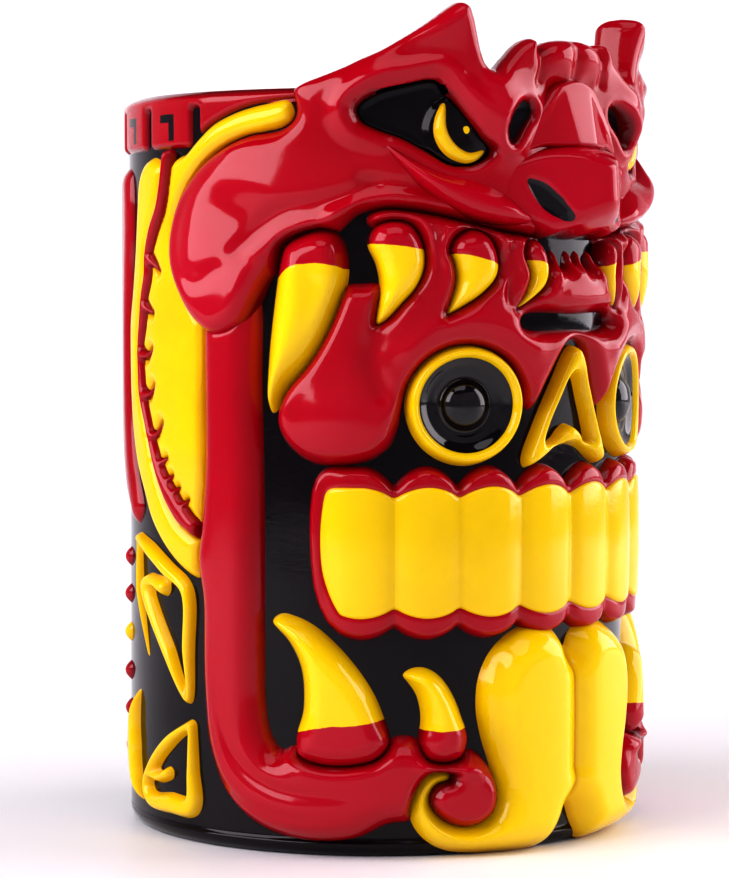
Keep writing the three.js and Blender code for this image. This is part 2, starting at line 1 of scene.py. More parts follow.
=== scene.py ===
"""A tall glazed tiki mug: a horned beast's head with open jaws round a grinning skull, in raised relief on
a straight cup. It is built in the CAD frame: metres, +Z up, the face towards -Y.

The relief is laid out on the cup's wall. A place on the wall is (degrees, mm): the angle round the cup
from the middle of the face, positive towards -X, and the height above the foot. Each piece is a height
field over its own patch of the wall: a signed distance to the piece's outline gives it rounded sides, and
ridges and mounds are added on top. In the functions, s is the arc length from the middle of the face and
z the height, both in mm, over a grid.
"""

import math

import bmesh
import bpy
import numpy as np
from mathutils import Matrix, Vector


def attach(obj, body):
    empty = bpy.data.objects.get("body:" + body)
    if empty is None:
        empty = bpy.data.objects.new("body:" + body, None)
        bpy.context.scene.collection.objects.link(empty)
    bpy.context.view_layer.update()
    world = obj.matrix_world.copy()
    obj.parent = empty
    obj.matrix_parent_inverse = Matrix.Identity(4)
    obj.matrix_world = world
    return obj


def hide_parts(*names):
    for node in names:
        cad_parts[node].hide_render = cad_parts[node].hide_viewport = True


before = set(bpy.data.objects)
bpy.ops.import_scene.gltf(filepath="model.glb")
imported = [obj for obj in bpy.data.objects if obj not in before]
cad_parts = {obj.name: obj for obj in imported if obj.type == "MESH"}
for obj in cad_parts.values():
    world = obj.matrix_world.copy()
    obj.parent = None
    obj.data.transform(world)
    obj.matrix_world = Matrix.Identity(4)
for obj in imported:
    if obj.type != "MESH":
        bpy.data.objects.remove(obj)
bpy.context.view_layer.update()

MM = 0.001
RADIUS = 45.0  # outside of the wall, mm
RIM = 130.0  # height of the drinking edge, mm
WALL = 5.0  # thickness of the wall, mm
CUP_FLOOR = 7.0  # height of the well's floor, mm
CELL = 0.3  # size of a relief piece's mesh cells, mm
FINE = 0.2  # the same for a piece with small detail, mm
BURIED = -0.4  # how far outside its outline, in mm, a piece runs on below the wall's surface
GROOVE = 0.45  # between one piece and the next, mm
SKIRT = 7.5  # how steeply a piece drops where it meets another, mm per mm
BULGE = (0, 94)  # middle of the bulge of the face


# ---------- Outlines on the wall ----------


def arc(degrees):
    return math.radians(degrees) * RADIUS


def both_sides(half, middle=0):
    """A closed outline from its half, which runs from the bottom middle to the top middle."""
    return half + [(2 * middle - degrees, z) for degrees, z in half if degrees != middle][::-1]


def spline(places, closed=True, step=0.4):
    """Points in mm of a smooth line through the places, about a step apart."""
    points = [np.array((arc(degrees), z)) for degrees, z in places]
    n = len(points)
    made = []
    for i in range(n if closed else n - 1):
        if closed:
            a, b, c, d = (points[(i + k) % n] for k in (-1, 0, 1, 2))
        else:
            a, b, c, d = (points[min(max(i + k, 0), n - 1)] for k in (-1, 0, 1, 2))
        made += span(a, b, c, d, step)
    if not closed:
        made.append(points[-1])
    return np.array(made)


def span(a, b, c, d, step):
    """A stretch from b to c of a Catmull-Rom line whose tangents fit the lengths of its spans."""
    ab, bc, cd = (max(np.linalg.norm(q - p) ** 0.5, 1e-3) for p, q in ((a, b), (b, c), (c, d)))
    into = (b - a) / ab - (c - a) / (ab + bc) + (c - b) / bc if ab > 2e-3 else (c - b) / bc
    out = (c - b) / bc - (d - b) / (bc + cd) + (d - c) / cd if cd > 2e-3 else (c - b) / bc
    into, out = into * bc, out * bc
    count = max(1, math.ceil(np.linalg.norm(c - b) / step))
    made = []
    for i in range(count):
        t = i / count
        made.append(
            (2 * t**3 - 3 * t**2 + 1) * b
            + (t**3 - 2 * t**2 + t) * into
            + (3 * t**2 - 2 * t**3) * c
            + (t**3 - t**2) * out
        )
    return made


def near_box(points, s, z, reach):
    """Which places of a grid are within reach of the box round some points."""
    low, high = points.min(axis=0) - reach, points.max(axis=0) + reach
    return (s > low[0]) & (s < high[0]) & (z > low[1]) & (z < high[1])


def stretches(starts, ends, s, z):
    """For each stretch of a line: how far along it places are, from 0 to 1, and their distance squared."""
    for (ax, az), (bx, bz) in zip(starts, ends):
        ex, ez = bx - ax, bz - az
        along = np.clip(((s - ax) * ex + (z - az) * ez) / max(ex * ex + ez * ez, 1e-12), 0, 1)
        yield along, (s - ax - along * ex) ** 2 + (z - az - along * ez) ** 2


def inside(outline, s, z, reach=8.0):
    """Signed distance in mm to a closed outline, positive inside, and no less than -reach."""
    near = near_box(outline, s, z, reach)
    ps, pz = s[near], z[near]
    ends = np.roll(outline, -1, axis=0)
    nearest = np.full(ps.shape, np.inf)
    for _, squared in stretches(outline, ends, ps, pz):
        nearest = np.minimum(nearest, squared)
    odd = np.zeros(ps.shape, dtype=bool)
    for (ax, az), (bx, bz) in zip(outline, ends):
        if az != bz:
            odd ^= ((az > pz) != (bz > pz)) & (ps < (bx - ax) * (pz - az) / (bz - az) + ax)
    distance = np.sqrt(nearest)
    result = np.full(s.shape, -reach)
    result[near] = np.where(odd, distance, np.maximum(-distance, -reach))
    return result


def within(places, s, z, reach=8.0):
    return inside(spline(places), s, z, reach)


def from_line(line, s, z, reach=8.0):
    """Distance in mm to an open line, and no more than reach."""
    near = near_box(line, s, z, reach)
    nearest = np.full(near.sum(), reach * reach)
    for _, squared in stretches(line[:-1], line[1:], s[near], z[near]):
        nearest = np.minimum(nearest, squared)
    result = np.full(s.shape, reach)
    result[near] = np.sqrt(nearest)
    return result


def course(places):
    """The open line through some places, which may each have a width after the height."""
    return spline([place[:2] for place in places], closed=False)


def tapered(stroke, s, z):
    """Signed distance to a stroke of clay, given as (degrees, mm, half its width in mm)."""
    line = course(stroke)
    run = np.concatenate([[0], np.cumsum(np.hypot(*np.diff(line, axis=0).T))])
    marks = [run[np.argmin(np.hypot(*(line - (arc(degrees), height)).T))] for degrees, height, _ in stroke]
    marks[-1] = run[-1]
    wide = np.interp(run, marks, [width for _, _, width in stroke])
    near = near_box(line, s, z, 4)
    result = np.full(s.shape, -4.0)
    best = result[near]
    for i, (along, squared) in enumerate(stretches(line[:-1], line[1:], s[near], z[near])):
        best = np.maximum(best, wide[i] + along * (wide[i + 1] - wide[i]) - np.sqrt(squared))
    result[near] = best
    return result


def less(depth, *others, gap=GROOVE):
    """The signed distance left after other pieces, grown by a gap, are cut out."""
    for other in others:
        depth = np.minimum(depth, -other - gap)
    return depth


# ---------- Relief forms ----------


def unit(x):
    """x held between 0 and 1."""
    return np.clip(x, 0, 1)


def bell(x):
    return np.exp(-(x**2))


def dome(depth, height, width, power=2.2):
    """Rises from an outline to its full height a width inside it, and runs on below the wall outside it."""
    t = unit(depth / width)
    return np.where(depth < 0, height * power / width * depth, height * (1 - (1 - t) ** power))


def seated(depth, base, height, width, power=2.2):
    """A dome that stands on a surface base mm above the wall, with a steep skirt round it."""
    t = unit(depth / width)
    return np.where(depth < 0, base + SKIRT * depth, base + height * (1 - (1 - t) ** power))


def tucked(height, cut, crease=0.7, width=0.9, skirt=SKIRT):
    """A surface that sinks into a crease, and then under, where the piece beside it begins, cut mm away."""
    return height - crease * bell(np.maximum(cut, 0) / width) + skirt * np.minimum(cut, 0)


def soften(height, cell, reach=0.4):
    """A height field with its creases and edges rounded over a reach in mm."""
    count = math.ceil(3 * reach / cell)
    weights = bell(np.arange(-count, count + 1) * cell / reach / math.sqrt(2))
    weights /= weights.sum()
    for axis in (0, 1):
        pad = [(count, count) if k == axis else (0, 0) for k in (0, 1)]
        padded = np.pad(height, pad, mode="edge")
        length = height.shape[axis]
        height = sum(w * np.take(padded, range(i, i + length), axis) for i, w in enumerate(weights))
    return height


def ridge(places, s, z, height, width):
    """A soft ridge, or a groove for a negative height, along a line of places."""
    return height * bell(from_line(course(places), s, z) / width)


def bump(place, s, z, height, across, up, lean=0.0):
    """A soft mound, or a hollow for a negative height. lean turns it, in degrees."""
    ds, dz = s - arc(place[0]), z - place[1]
    c, n = math.cos(math.radians(lean)), math.sin(math.radians(lean))
    return height * bell(np.hypot((ds * c + dz * n) / across, (dz * c - ds * n) / up))


def ridges(table, s, z):
    return sum(ridge(places, s, z, height, width) for places, height, width in table)


def mounds(table, s, z):
    return sum(bump(place, s, z, height, across, up, lean) for place, height, across, up, lean in table)


def prow(s, z):
    """The bulge of the face, in mm."""
    return bump(BULGE, s, z, 2.2, 13, 15)


def softly(a, b, blend):
    """The lower of two heights, with the crease between them rounded."""
    h = unit(0.5 + 0.5 * (b - a) / blend)
    return b * (1 - h) + a * h - blend * h * (1 - h)


def steps(z, low, high):
    """0 below low, 1 above high, smooth between."""
    t = unit((z - low) / (high - low))
    return t * t * (3 - 2 * t)


# ---------- Meshes ----------


def grid(outline, cell, margin=1.2):
    low, high = outline.min(axis=0) - margin, outline.max(axis=0) + margin
    s = np.arange(low[0], high[0] + cell, cell)
    z = np.arange(low[1], high[1] + cell, cell)
    return np.meshgrid(s, z, indexing="ij")


def trimmed(s, z, depth, level, layers):
    """The cells of a grid that lie inside a level of depth, with their outer corners moved onto that level.

    layers are heights or paints over the grid. Returns the corners' s and z, the quads, each layer at the
    corners, and which corners were moved.
    """
    keep = depth > level
    cells = keep[:-1, :-1] | keep[1:, :-1] | keep[:-1, 1:] | keep[1:, 1:]
    used = np.zeros(keep.shape, dtype=bool)
    for di in (0, 1):
        for dj in (0, 1):
            used[di : di + cells.shape[0], dj : dj + cells.shape[1]] |= cells
    cell = s[1, 0] - s[0, 0]
    ds, dz = np.gradient(depth, cell)
    norm = np.maximum(np.hypot(ds, dz), 1e-6)
    over = np.where(used & ~keep, np.clip(level - depth, 0, 1.5 * cell), 0)
    move_s, move_z = over * ds / norm, over * dz / norm
    index = np.full(keep.shape, -1)
    index[used] = np.arange(used.sum())
    i, j = np.nonzero(cells)
    quads = np.stack([index[i, j], index[i + 1, j], index[i + 1, j + 1], index[i, j + 1]], axis=1)
    values = []
    for layer in layers:
        slope_s, slope_z = np.gradient(layer, cell)
        values.append((layer + slope_s * move_s + slope_z * move_z)[used])
    return (s + move_s)[used], (z + move_z)[used], quads, values, (over > 0)[used]


def wrapped(s, z, radius, side=1):
    """Points in metres at a radius on the cup, from arc lengths and heights in mm."""
    angle = s / RADIUS
    return np.stack([-side * radius * np.sin(angle), -radius * np.cos(angle), z], axis=1) * MM


def mesh_object(name, points, faces, attributes, material):
    """A smooth-shaded object from an array of points and an array of faces with as many corners each."""
    mesh = bpy.data.meshes.new(name)
    mesh.vertices.add(len(points))
    mesh.vertices.foreach_set("co", np.asarray(points, dtype=np.float32).ravel())
    corners = faces.shape[1]
    mesh.loops.add(faces.size)
    mesh.loops.foreach_set("vertex_index", faces.astype(np.int32).ravel())
    mesh.polygons.add(len(faces))
    mesh.polygons.foreach_set("loop_start", np.arange(0, faces.size, corners, dtype=np.int32))
    mesh.polygons.foreach_set("loop_total", np.full(len(faces), corners, dtype=np.int32))
    mesh.polygons.foreach_set("use_smooth", np.ones(len(faces), dtype=bool))
    for key, values in attributes.items():
        layer = mesh.attributes.new(key, "FLOAT", "POINT")
        layer.data.foreach_set("value", np.asarray(values, dtype=np.float32))
    mesh.update(calc_edges=True)
    mesh.validate()
    mesh.materials.append(material)
    made = bpy.data.objects.new(name, mesh)
    bpy.context.scene.collection.objects.link(made)
    return made


def settle(piece, slot, *nodes):
    """The piece rides on the mug and stands for these CAD nodes."""
    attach(piece, "root")
    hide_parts(*nodes)


def relief(name, outline, form, material, slot=None, pair=False, cell=CELL, paint=None):
    """A relief piece over an outline or the places round it, or a mirrored pair of them.

    form(s, z, depth) returns (depth, height): the depth may be cut back, and the height is in mm above the
    wall. For a piece that meets others it also returns the distance to where it is cut off, the depth of
    the crease there and, if that isn't SKIRT, how steeply the piece drops past it.
    paint(s, z) returns a distance in mm that is positive where the material's second colour goes.
    The slot is not used.
    """
    if isinstance(outline, list):
        outline = spline(outline)
    s, z = grid(outline, cell)
    depth, height, *rest = form(s, z, inside(outline, s, z))
    height = soften(height, cell)
    # The distance in from the outline drives the darker colour at a form's foot, partly pooled glaze and
    # partly painted shade.
    pool_and_shade_depth = depth
    if rest:
        cut, crease, skirt = (*rest, SKIRT)[:3]
        height = tucked(height, cut, crease, skirt=skirt)
        depth = np.minimum(depth, cut)
        pool_and_shade_depth = depth if crease else pool_and_shade_depth
    painted = paint(s, z) if paint else np.full(s.shape, -9.0)
    # The height above the wall drives the painted light on tall relief.
    layers = [RADIUS + prow(s, z) + height, pool_and_shade_depth, painted, height]
    ps, pz, quads, (radius, edge, tint, rise), _ = trimmed(s, z, depth, BURIED, layers)
    attributes = {"edge": edge, "tint": tint, "rise": rise}
    for side, word in ((1, "left_"), (-1, "right_")) if pair else ((1, ""),):
        faces = quads[:, ::-1] if side > 0 else quads
        points = wrapped(ps, pz, radius, side)
        piece = mesh_object(word + name + "_glazed", points, faces, attributes, material)
        settle(piece, slot or material.name.split(".")[0], word + name)


def fine_pair(name, outline, form, material, slot=None, paint=None):
    relief(name, outline, form, material, slot, pair=True, cell=FINE, paint=paint)


# ---------- Glazes ----------


def ranged(tree, value, low, high, to_low=0.0, to_high=1.0):
    made = tree.nodes.new("ShaderNodeMapRange")
    tree.links.new(value, made.inputs["Value"])
    for key, number in (("From Min", low), ("From Max", high), ("To Min", to_low), ("To Max", to_high)):
        made.inputs[key].default_value = number
    return made.outputs["Result"]


def mixed(tree, share, a, b):
    """Colour a where share is 0 and b where it is 1. Each may be a colour or a socket."""
    made = tree.nodes.new("ShaderNodeMix")
    made.data_type = "RGBA"
    tree.links.new(share, made.inputs["Factor"])
    for socket, colour in ((made.inputs[6], a), (made.inputs[7], b)):
        if isinstance(colour, bpy.types.NodeSocket):
            tree.links.new(colour, socket)
        else:
            socket.default_value = (*colour, 1)
    return made.outputs[2]


def attribute(tree, name):
    made = tree.nodes.new("ShaderNodeAttribute")
    made.attribute_name = name
    return made.outputs["Fac"]


def noise(tree, place, scale, detail=2.0, roughness=0.5):
    made = tree.nodes.new("ShaderNodeTexNoise")
    tree.links.new(place, made.inputs["Vector"])
    made.inputs["Scale"].default_value = scale
    made.inputs["Detail"].default_value = detail
    made.inputs["Roughness"].default_value = roughness
    return made.outputs["Fac"]


# Each glaze's colours: its own body colour, a darker one for a form's foot that is partly pooled glaze and
# partly painted shade, and a lighter one that is painted light on the relief that stands out most.
RED = {"body": (0.42, 0.0, 0.012), "deep": (0.15, 0.0, 0.003), "thin": (0.46, 0.001, 0.020)}
YELLOW = {"body": (0.95, 0.62, 0.001), "deep": (0.76, 0.40, 0.0), "thin": (1.0, 0.69, 0.006)}
BLACK = {"body": (0.006, 0.004, 0.006), "deep": (0.001, 0.001, 0.001), "thin": (0.012, 0.010, 0.013)}


def tinted(tree, place, colours):
    """A glaze's colour: darker towards a form's foot, partly glaze pooling and partly painted shade,
    lighter as painted light on what stands out furthest, and softly mottled.
    """
    # Darker towards a form's foot: partly glaze pooling, partly painted shade.
    glaze_pool_and_shade = ranged(tree, attribute(tree, "edge"), -0.1, 0.8)
    # Painted light: lighter the further the relief stands out from the wall.
    raised = ranged(tree, attribute(tree, "rise"), 2.0, 5.5)
    mottle = ranged(tree, noise(tree, place, 70.0, 3.0), 0.3, 0.7)
    body = mixed(tree, mottle, [c * 0.86 for c in colours["body"]], colours["body"])
    body = mixed(tree, raised, body, colours["thin"])
    return mixed(tree, glaze_pool_and_shade, colours["deep"], body)


def glaze(name, colours, second=None, gloss=0.07, index=1.44):
    """A thick gloss glaze over cast clay. The second colour goes where the tint attribute is positive."""
    material = bpy.data.materials.new(name)
    material.use_nodes = True
    tree = material.node_tree
    shader = tree.nodes["Principled BSDF"]
    place = tree.nodes.new("ShaderNodeTexCoord").outputs["Object"]
    colour = tinted(tree, place, colours)
    if second:
        line = tree.nodes.new("ShaderNodeMath")
        line.operation = "ADD"
        tree.links.new(attribute(tree, "tint"), line.inputs[0])
        tree.links.new(ranged(tree, noise(tree, place, 500.0), 0.2, 0.8, -0.12, 0.12), line.inputs[1])
        share = ranged(tree, line.outputs[0], -0.05, 0.05)
        colour = mixed(tree, share, colour, tinted(tree, place, second))
    tree.links.new(colour, shader.inputs["Base Color"])
    shader.inputs["IOR"].default_value = index
    sheen = ranged(tree, noise(tree, place, 900.0, 2.0), 0.3, 0.8, gloss, gloss + 0.06)
    tree.links.new(sheen, shader.inputs["Roughness"])
    tree.links.new(skin_bump(tree, place), shader.inputs["Normal"])
    return material


def skin_bump(tree, place):
    """The slow waviness of a cast form under the fine orange peel of its glaze."""
    waves = tree.nodes.new("ShaderNodeBump")
    waves.inputs["Strength"].default_value = 0.25
    waves.inputs["Distance"].default_value = 0.0004
    tree.links.new(noise(tree, place, 90.0, 0.0), waves.inputs["Height"])
    peel = tree.nodes.new("ShaderNodeBump")
    peel.inputs["Strength"].default_value = 0.12
    peel.inputs["Distance"].default_value = 0.00008
    tree.links.new(noise(tree, place, 1300.0, 2.0), peel.inputs["Height"])
    tree.links.new(waves.outputs["Normal"], peel.inputs["Normal"])
    return peel.outputs["Normal"]


red = glaze("red_glaze", RED)
yellow = glaze("yellow_glaze", YELLOW)
black = glaze("black_glaze", BLACK, gloss=0.05, index=1.36)
wet_black = glaze("wet_black_glaze", BLACK, gloss=0.03, index=1.56)
red_and_yellow = glaze("red_and_yellow_glaze", RED, second=YELLOW)
red_and_black = glaze("red_and_black_glaze", RED, second=BLACK)
black_and_yellow = glaze("black_and_yellow_glaze", BLACK, second=YELLOW, index=1.36)
black_and_red = glaze("black_and_red_glaze", BLACK, second=RED, gloss=0.05, index=1.36)


# ---------- Outlines, in places on the wall ----------

HEAD = both_sides([
    (0, 105.2), (9, 105), (18, 106), (27, 107.6), (36, 109), (44, 109.4), (49, 108.6), (52.6, 106),
    (57, 103.6), (62, 102.2), (66, 100), (68.4, 98), (70.6, 94.6), (73, 90.8), (76.4, 88.8), (80.5, 88.4),
    (85, 90.6), (89.4, 95.2), (93.2, 100.6), (94.4, 106), (92.8, 111.6), (87.8, 116.8), (81, 120.6),
    (74, 122.6), (66, 123.6), (63.2, 125.6), (63.4, 129.4), (61, 130.8), (57, 132), (52.4, 133.4),
    (48.6, 134.8), (44.8, 136.1), (41, 137.8), (37.1, 139.7), (33.3, 141.8), (30.4, 143.5), (28.2, 144.4),
    (26.4, 143.9), (25.2, 142), (24.3, 139.4), (23.4, 136.4), (22.2, 134), (20.4, 133.2), (16.8, 135.6),
    (13.8, 137.8), (11.4, 138.8), (10, 138.4), (9.3, 136.7), (8.2, 137.3), (6.2, 138.4), (3, 138.9),
    (0, 139),
])
EYE_SOCKET = [
    (49.6, 126.6), (48.6, 124.4), (45, 122.9), (40, 121.5), (35, 119.4), (30, 117.2), (25, 117.2),
    (21, 119.4), (24, 122), (27, 125), (31, 129.3), (33, 131.2), (40, 130.4), (46, 129),
]
EYE_CRESCENT = [
    (31, 128.2), (33.2, 125.4), (33.6, 122), (31.2, 118.6), (27, 117.2), (24, 117.9), (22, 120),
    (26, 119.2), (29.2, 120.6), (31, 123.2), (31, 126.6),
]
EYE_DOT = [(27.6, 123.4), (26.6, 123.6), (26.2, 122.8), (27, 122.3)]
CHEEK_FOLD = [
    (47, 122.4), (43.6, 119.4), (40, 116), (36.8, 113.2), (30.4, 109.6), (23.6, 107.6), (15.8, 106.8),
    (12.2, 107.2), (11.2, 108.4), (14, 110.4), (19.2, 113.4), (24, 115.2), (31.7, 116.2), (38.1, 118.4),
    (44.6, 121.6),
]
BROW_HOLLOW = [
    (14.2, 128), (12.8, 127.7), (12.2, 126.2), (14.4, 123.7), (17.2, 120.9), (18.4, 122), (18.5, 124.4),
    (17, 126.6),
]
NOSE_BRIDGE = both_sides([
    (0, 119.6), (6, 119.8), (9.6, 120), (13, 119), (17.2, 117.4), (19, 118), (17.2, 120.6), (14.4, 123.2),
    (11.6, 125.8), (8.8, 128.6), (6, 131.2), (2, 132.4), (0, 132.5),
])
MUZZLE = both_sides([
    (0, 105), (5, 105.4), (9, 105), (12.6, 106.6), (16, 108.6), (20, 110.8), (22.4, 113.4), (21.6, 115.8),
    (16, 118.4), (9, 120.8), (0, 122),
])
NOSTRIL = [
    (14, 114.9), (11.2, 114.5), (8.3, 112), (5.8, 108), (7.4, 107.9), (10.4, 109.2), (12.1, 110.9),
]

UPPER_FANGS = [
    [
        (66.6, 101), (65.4, 103.8), (62, 105.6), (57, 106.6), (53.4, 105.6), (51.5, 102.4), (51.3, 98),
        (53, 93.4), (56, 88), (60, 83), (63.6, 79.8), (66.4, 76.4), (68.3, 75.2), (69.4, 77.6), (69.3, 84),
        (68.4, 91), (67.4, 97),
    ],
    [
        (47.2, 104), (45.8, 106.8), (42, 108), (38, 107.2), (35.6, 104), (35.3, 100), (37, 96.6),
        (40, 93.8), (43, 91.4), (45.4, 90.3), (45.2, 93.6), (44.6, 97), (45.4, 100.6),
    ],
    [
        (30.4, 103), (29, 105.4), (25.4, 106.6), (21.6, 105.4), (19.6, 102), (19.8, 98.6), (22.6, 95.8),
        (27, 93.4), (31.2, 91.8), (30, 94.6), (29, 98), (29.4, 100.6),
    ],
    [
        (14, 102.6), (13, 104.6), (10.8, 105), (8.8, 103), (8.1, 99.8), (9, 97), (11.6, 94.9),
        (15.8, 92.8), (13.8, 95.8), (12.7, 98.8),
    ],
]
CAP_LINES = [
    [(72, 97.6), (67, 98), (62, 100.2), (56, 100.6), (51, 99.6), (48, 99.4)],
    [(50, 103.9), (44, 103.8), (36, 103), (33, 102.6)],
    [(33, 102.2), (28, 102.2), (22, 101), (18, 100)],
    [(16, 101.4), (12, 101.2), (8, 100.2), (6, 100)],
]

BROW = both_sides([
    (0, 87.6), (2.4, 86.6), (6, 81.6), (8.6, 77.6), (10.6, 75.6), (13, 77.4), (15.6, 80.4), (19, 83),
    (26.3, 85), (33, 83.6), (37.6, 80), (39.4, 76.4), (40.7, 73), (42.4, 70), (46, 67.8), (49.8, 66.9),
    (54, 66.6), (59, 67), (63.4, 69), (66.4, 72), (67.4, 75.4), (67, 78.4), (64.4, 82), (60.4, 86),
    (57.4, 91), (55, 96), (52.6, 98), (50.2, 97.4), (47, 97.4), (44.2, 98), (42.5, 101), (43.6, 105),
    (46.8, 106.4), (47.8, 108.4), (45, 111), (33, 110.4), (24, 108.4), (15, 107), (9, 106.4), (0, 106.4),
])
MOUTH_GAP = both_sides([
    (0, 101), (0.8, 103), (2.2, 103.1), (3.1, 100.4), (3.9, 100), (4.6, 102.4), (5.6, 103.3), (6.6, 103),
    (7.2, 101.2), (8.4, 101.4), (8.8, 103), (8.4, 104.4), (0, 104.8),
])
BROW_SLOT = both_sides([(0, 89.6), (11.6, 89.6), (13.4, 90.4), (12.8, 91.8), (0, 92)])
EYE_CENTRE = (26.3, 76.8)
EYE_RING = (10.4, 7.5)  # outer and inner radius, mm
PUPIL = 4.3  # radius, mm
NOSE = both_sides([
    (0, 69.6), (4, 69), (9, 66.6), (11.8, 65.8), (12.4, 67.4), (9.6, 73), (5.4, 80), (1.8, 86), (0, 87),
])
NOSE_HOLE = both_sides([
    (0, 73.4), (2.4, 72.4), (4.4, 70.8), (7, 70.2), (6, 73), (3.4, 77.4), (0.9, 81.4), (0, 81.8),
])

TEETH_PER_SIDE = 4
LAST_CREST = TEETH_PER_SIDE - 0.5  # past it the top edge no longer dips
TOOTH_PITCH = 13.9  # degrees
GUM_TOP = 66.6
GUM_TOP_NOTCH = 63.0
GUM_BOTTOM = 37.0
GUM_BOTTOM_NOTCH = 39.4
TEETH_TOP = 63.4
TEETH_TOP_NOTCH = 61.4
TEETH_BOTTOM = 40.6
TEETH_BOTTOM_NOTCH = 42.4
TEETH_END = 57.6
GUM_END = [
    (55.4, 66.5), (57.2, 65.9), (58.6, 64.6), (59.5, 62.4), (60, 59), (60.1, 55), (59.8, 50), (59.2, 46),
    (58, 42.8), (56.2, 40),
]

JAW = [
    (72, 98), (70.8, 94), (70.8, 80), (70.4, 68), (70.2, 50), (70.2, 34), (70, 26), (68.6, 20.6),
    (66, 18.2), (62, 20), (54, 20.6), (44, 21), (36, 20.8), (28, 19.4), (22.6, 17.4), (18, 14), (15, 9),
    (16, 4.6), (24, 3.2), (36, 5.6), (42, 6), (50, 3.4), (60, 2.8), (68, 3.8), (73, 5.4), (77.5, 8),
    (80.4, 10.6), (83.2, 15), (85, 20), (86, 30), (86, 43), (87.4, 50), (86.4, 56), (85.4, 66), (85.4, 78),
    (85.4, 90), (84.4, 98), (78, 99.6),
]
LOWER_FANGS = [
    [
        (68.7, 40.2), (66.4, 41.6), (63, 41.2), (59, 39.8), (55, 37.4), (50, 33.2), (45.6, 28),
        (43.4, 23.6), (42.6, 19.6), (45, 17), (50, 15.8), (57, 15.8), (62, 17.4), (62.6, 20.6), (61.5, 26),
        (62, 32), (64.4, 36.2),
    ],
    [
        (40.2, 31.2), (38.4, 32.4), (35.4, 32.7), (32, 31.4), (29, 28.5), (26.8, 24.6), (25.8, 20),
        (27.4, 17), (31, 16), (35, 16.8), (36.4, 19.6), (36, 23), (37, 27.6), (39, 30),
    ],
]
COLLARS = [
    [(70, 20.4), (62, 21.6), (56, 22.8), (50, 23.2), (44, 23.8), (38, 24)],
    [(40, 22.4), (33, 22), (24, 22.4)],
]
TONGUE = [
    (-4, 33), (0.2, 34.6), (1.6, 36.6), (5, 38.6), (10, 39.1), (15, 38), (20, 34.8), (22.8, 30.4),
    (23.4, 25), (22.2, 20), (20.2, 15), (19.6, 11), (21, 7.6), (24, 5.6), (28, 5.4), (32, 7.2), (33.8, 10),
    (32.4, 12.2), (29.4, 13), (29, 14.2), (31.6, 15.1), (34.6, 14.8), (37.4, 12.2), (38.6, 8.6), (37, 4.8),
    (33, 2), (27, 0.9), (18, 0.5), (10, 0.4), (6.4, 0.8), (4, 2.4), (2.2, 4.6), (0.9, 7), (-1, 8.4),
    (-4, 10.4), (-6, 20),
]
TONGUE_CREASE = [(18.6, 34), (19.2, 26), (18.4, 18), (18, 12)]

FRILL = [
    (63.6, 128), (62.6, 124), (68, 122.6), (76, 120.4), (83, 116.6), (90, 110), (91, 104), (88, 97),
    (85, 92), (82, 88), (84, 78), (84, 66), (84.6, 58), (85.6, 52), (87, 46.6), (90, 46.8), (95, 48.8),
    (100, 51.8), (105, 56), (108, 60), (112, 65), (114.5, 70), (116.2, 76), (117, 84), (116.8, 91),
    (115, 96), (113.2, 103), (112, 110), (110.6, 116), (107, 119), (104, 119.4), (100.6, 118.6),
    (98, 118.8), (95, 119.2), (92, 119.6), (88, 122), (83.6, 124.4), (78.1, 126.1), (74.4, 126.9),
    (69.7, 127.6),
]
SPINE = [
    (97, 119.6, 1.2), (98, 115, 1.2), (99.4, 110.6, 1.3), (102.4, 106.6, 1.3), (104.6, 102.4, 1.1),
    (104.8, 98.8, 1.2), (106.6, 95, 1.1), (107.2, 91, 1.2), (108.6, 86.6, 1.0), (108.2, 82, 1.1),
    (107.4, 78, 1.2), (105.4, 74, 1.1), (103.4, 70.4, 1.1), (101.4, 67, 1.2), (99, 63.8, 1.5),
    (95.6, 60.4, 1.9), (91.6, 57.2, 2.0), (86.4, 54.4, 1.5),
]
SPINE_HOOKS = [
    [(103.6, 101.6), (101.8, 100.6), (100.2, 99.4)],
    [(106, 93.4), (104.2, 92.6), (102.8, 92.2)],
    [(107.8, 85), (105, 84.8), (103.2, 86.2)],
    [(106.8, 78), (104, 78), (102.4, 79.8)],
    [(104, 71), (101.4, 71), (99.2, 73.2)],
    [(101.6, 66.6), (99.4, 66.2), (97.6, 67)],
    [(98.6, 63.2), (97.2, 63), (95.6, 64)],
    [(96, 60.6), (94.6, 61), (93.2, 62)],
    [(93, 58.6), (91.4, 59), (90.2, 60)],
]
HOOK_WIDTHS = [1.1, 0.75, 0.45]

UPPER_FRET = [
    (113.4, 52.6, 0.8), (106, 50.4, 1.5), (98.4, 47.4, 1.6), (91.6, 44.2, 1.4), (91.2, 34, 1.3),
    (91.2, 25, 0.7), (98, 33, 1.5), (107.8, 44.4, 1.7), (104, 45, 1.3), (100, 44.2, 1.6),
]
UPPER_FRET_LINE = [(113.4, 52.6, 0.7), (112.6, 43, 0.9), (108.6, 31.4, 0.4)]
LOWER_FRET = [
    (90, 20.8, 0.9), (89.8, 13, 1.3), (90, 6.8, 1.9), (97.6, 6.4, 2.0), (105.6, 6.4, 1.6), (108, 9, 1.2),
    (104.4, 13, 1.4), (98, 17.4, 1.4), (90.4, 21, 0.9),
]
LOWER_FRET_HOOK = [(106.4, 11, 1.2), (102, 10.6, 1.1), (98.6, 11.6, 1.3)]
LEAF = [(112.4, 5.6, 0.5), (115.4, 9.6, 1.9), (117, 15, 2.3), (116.8, 20, 1.6), (114.4, 25, 0.4)]
BEADS = [(124, 14), (125.4, 20.6), (126, 27.4), (126, 34.4), (125.6, 41.4), (124.6, 48.2)]
BEAD_RADIUS = 1.9

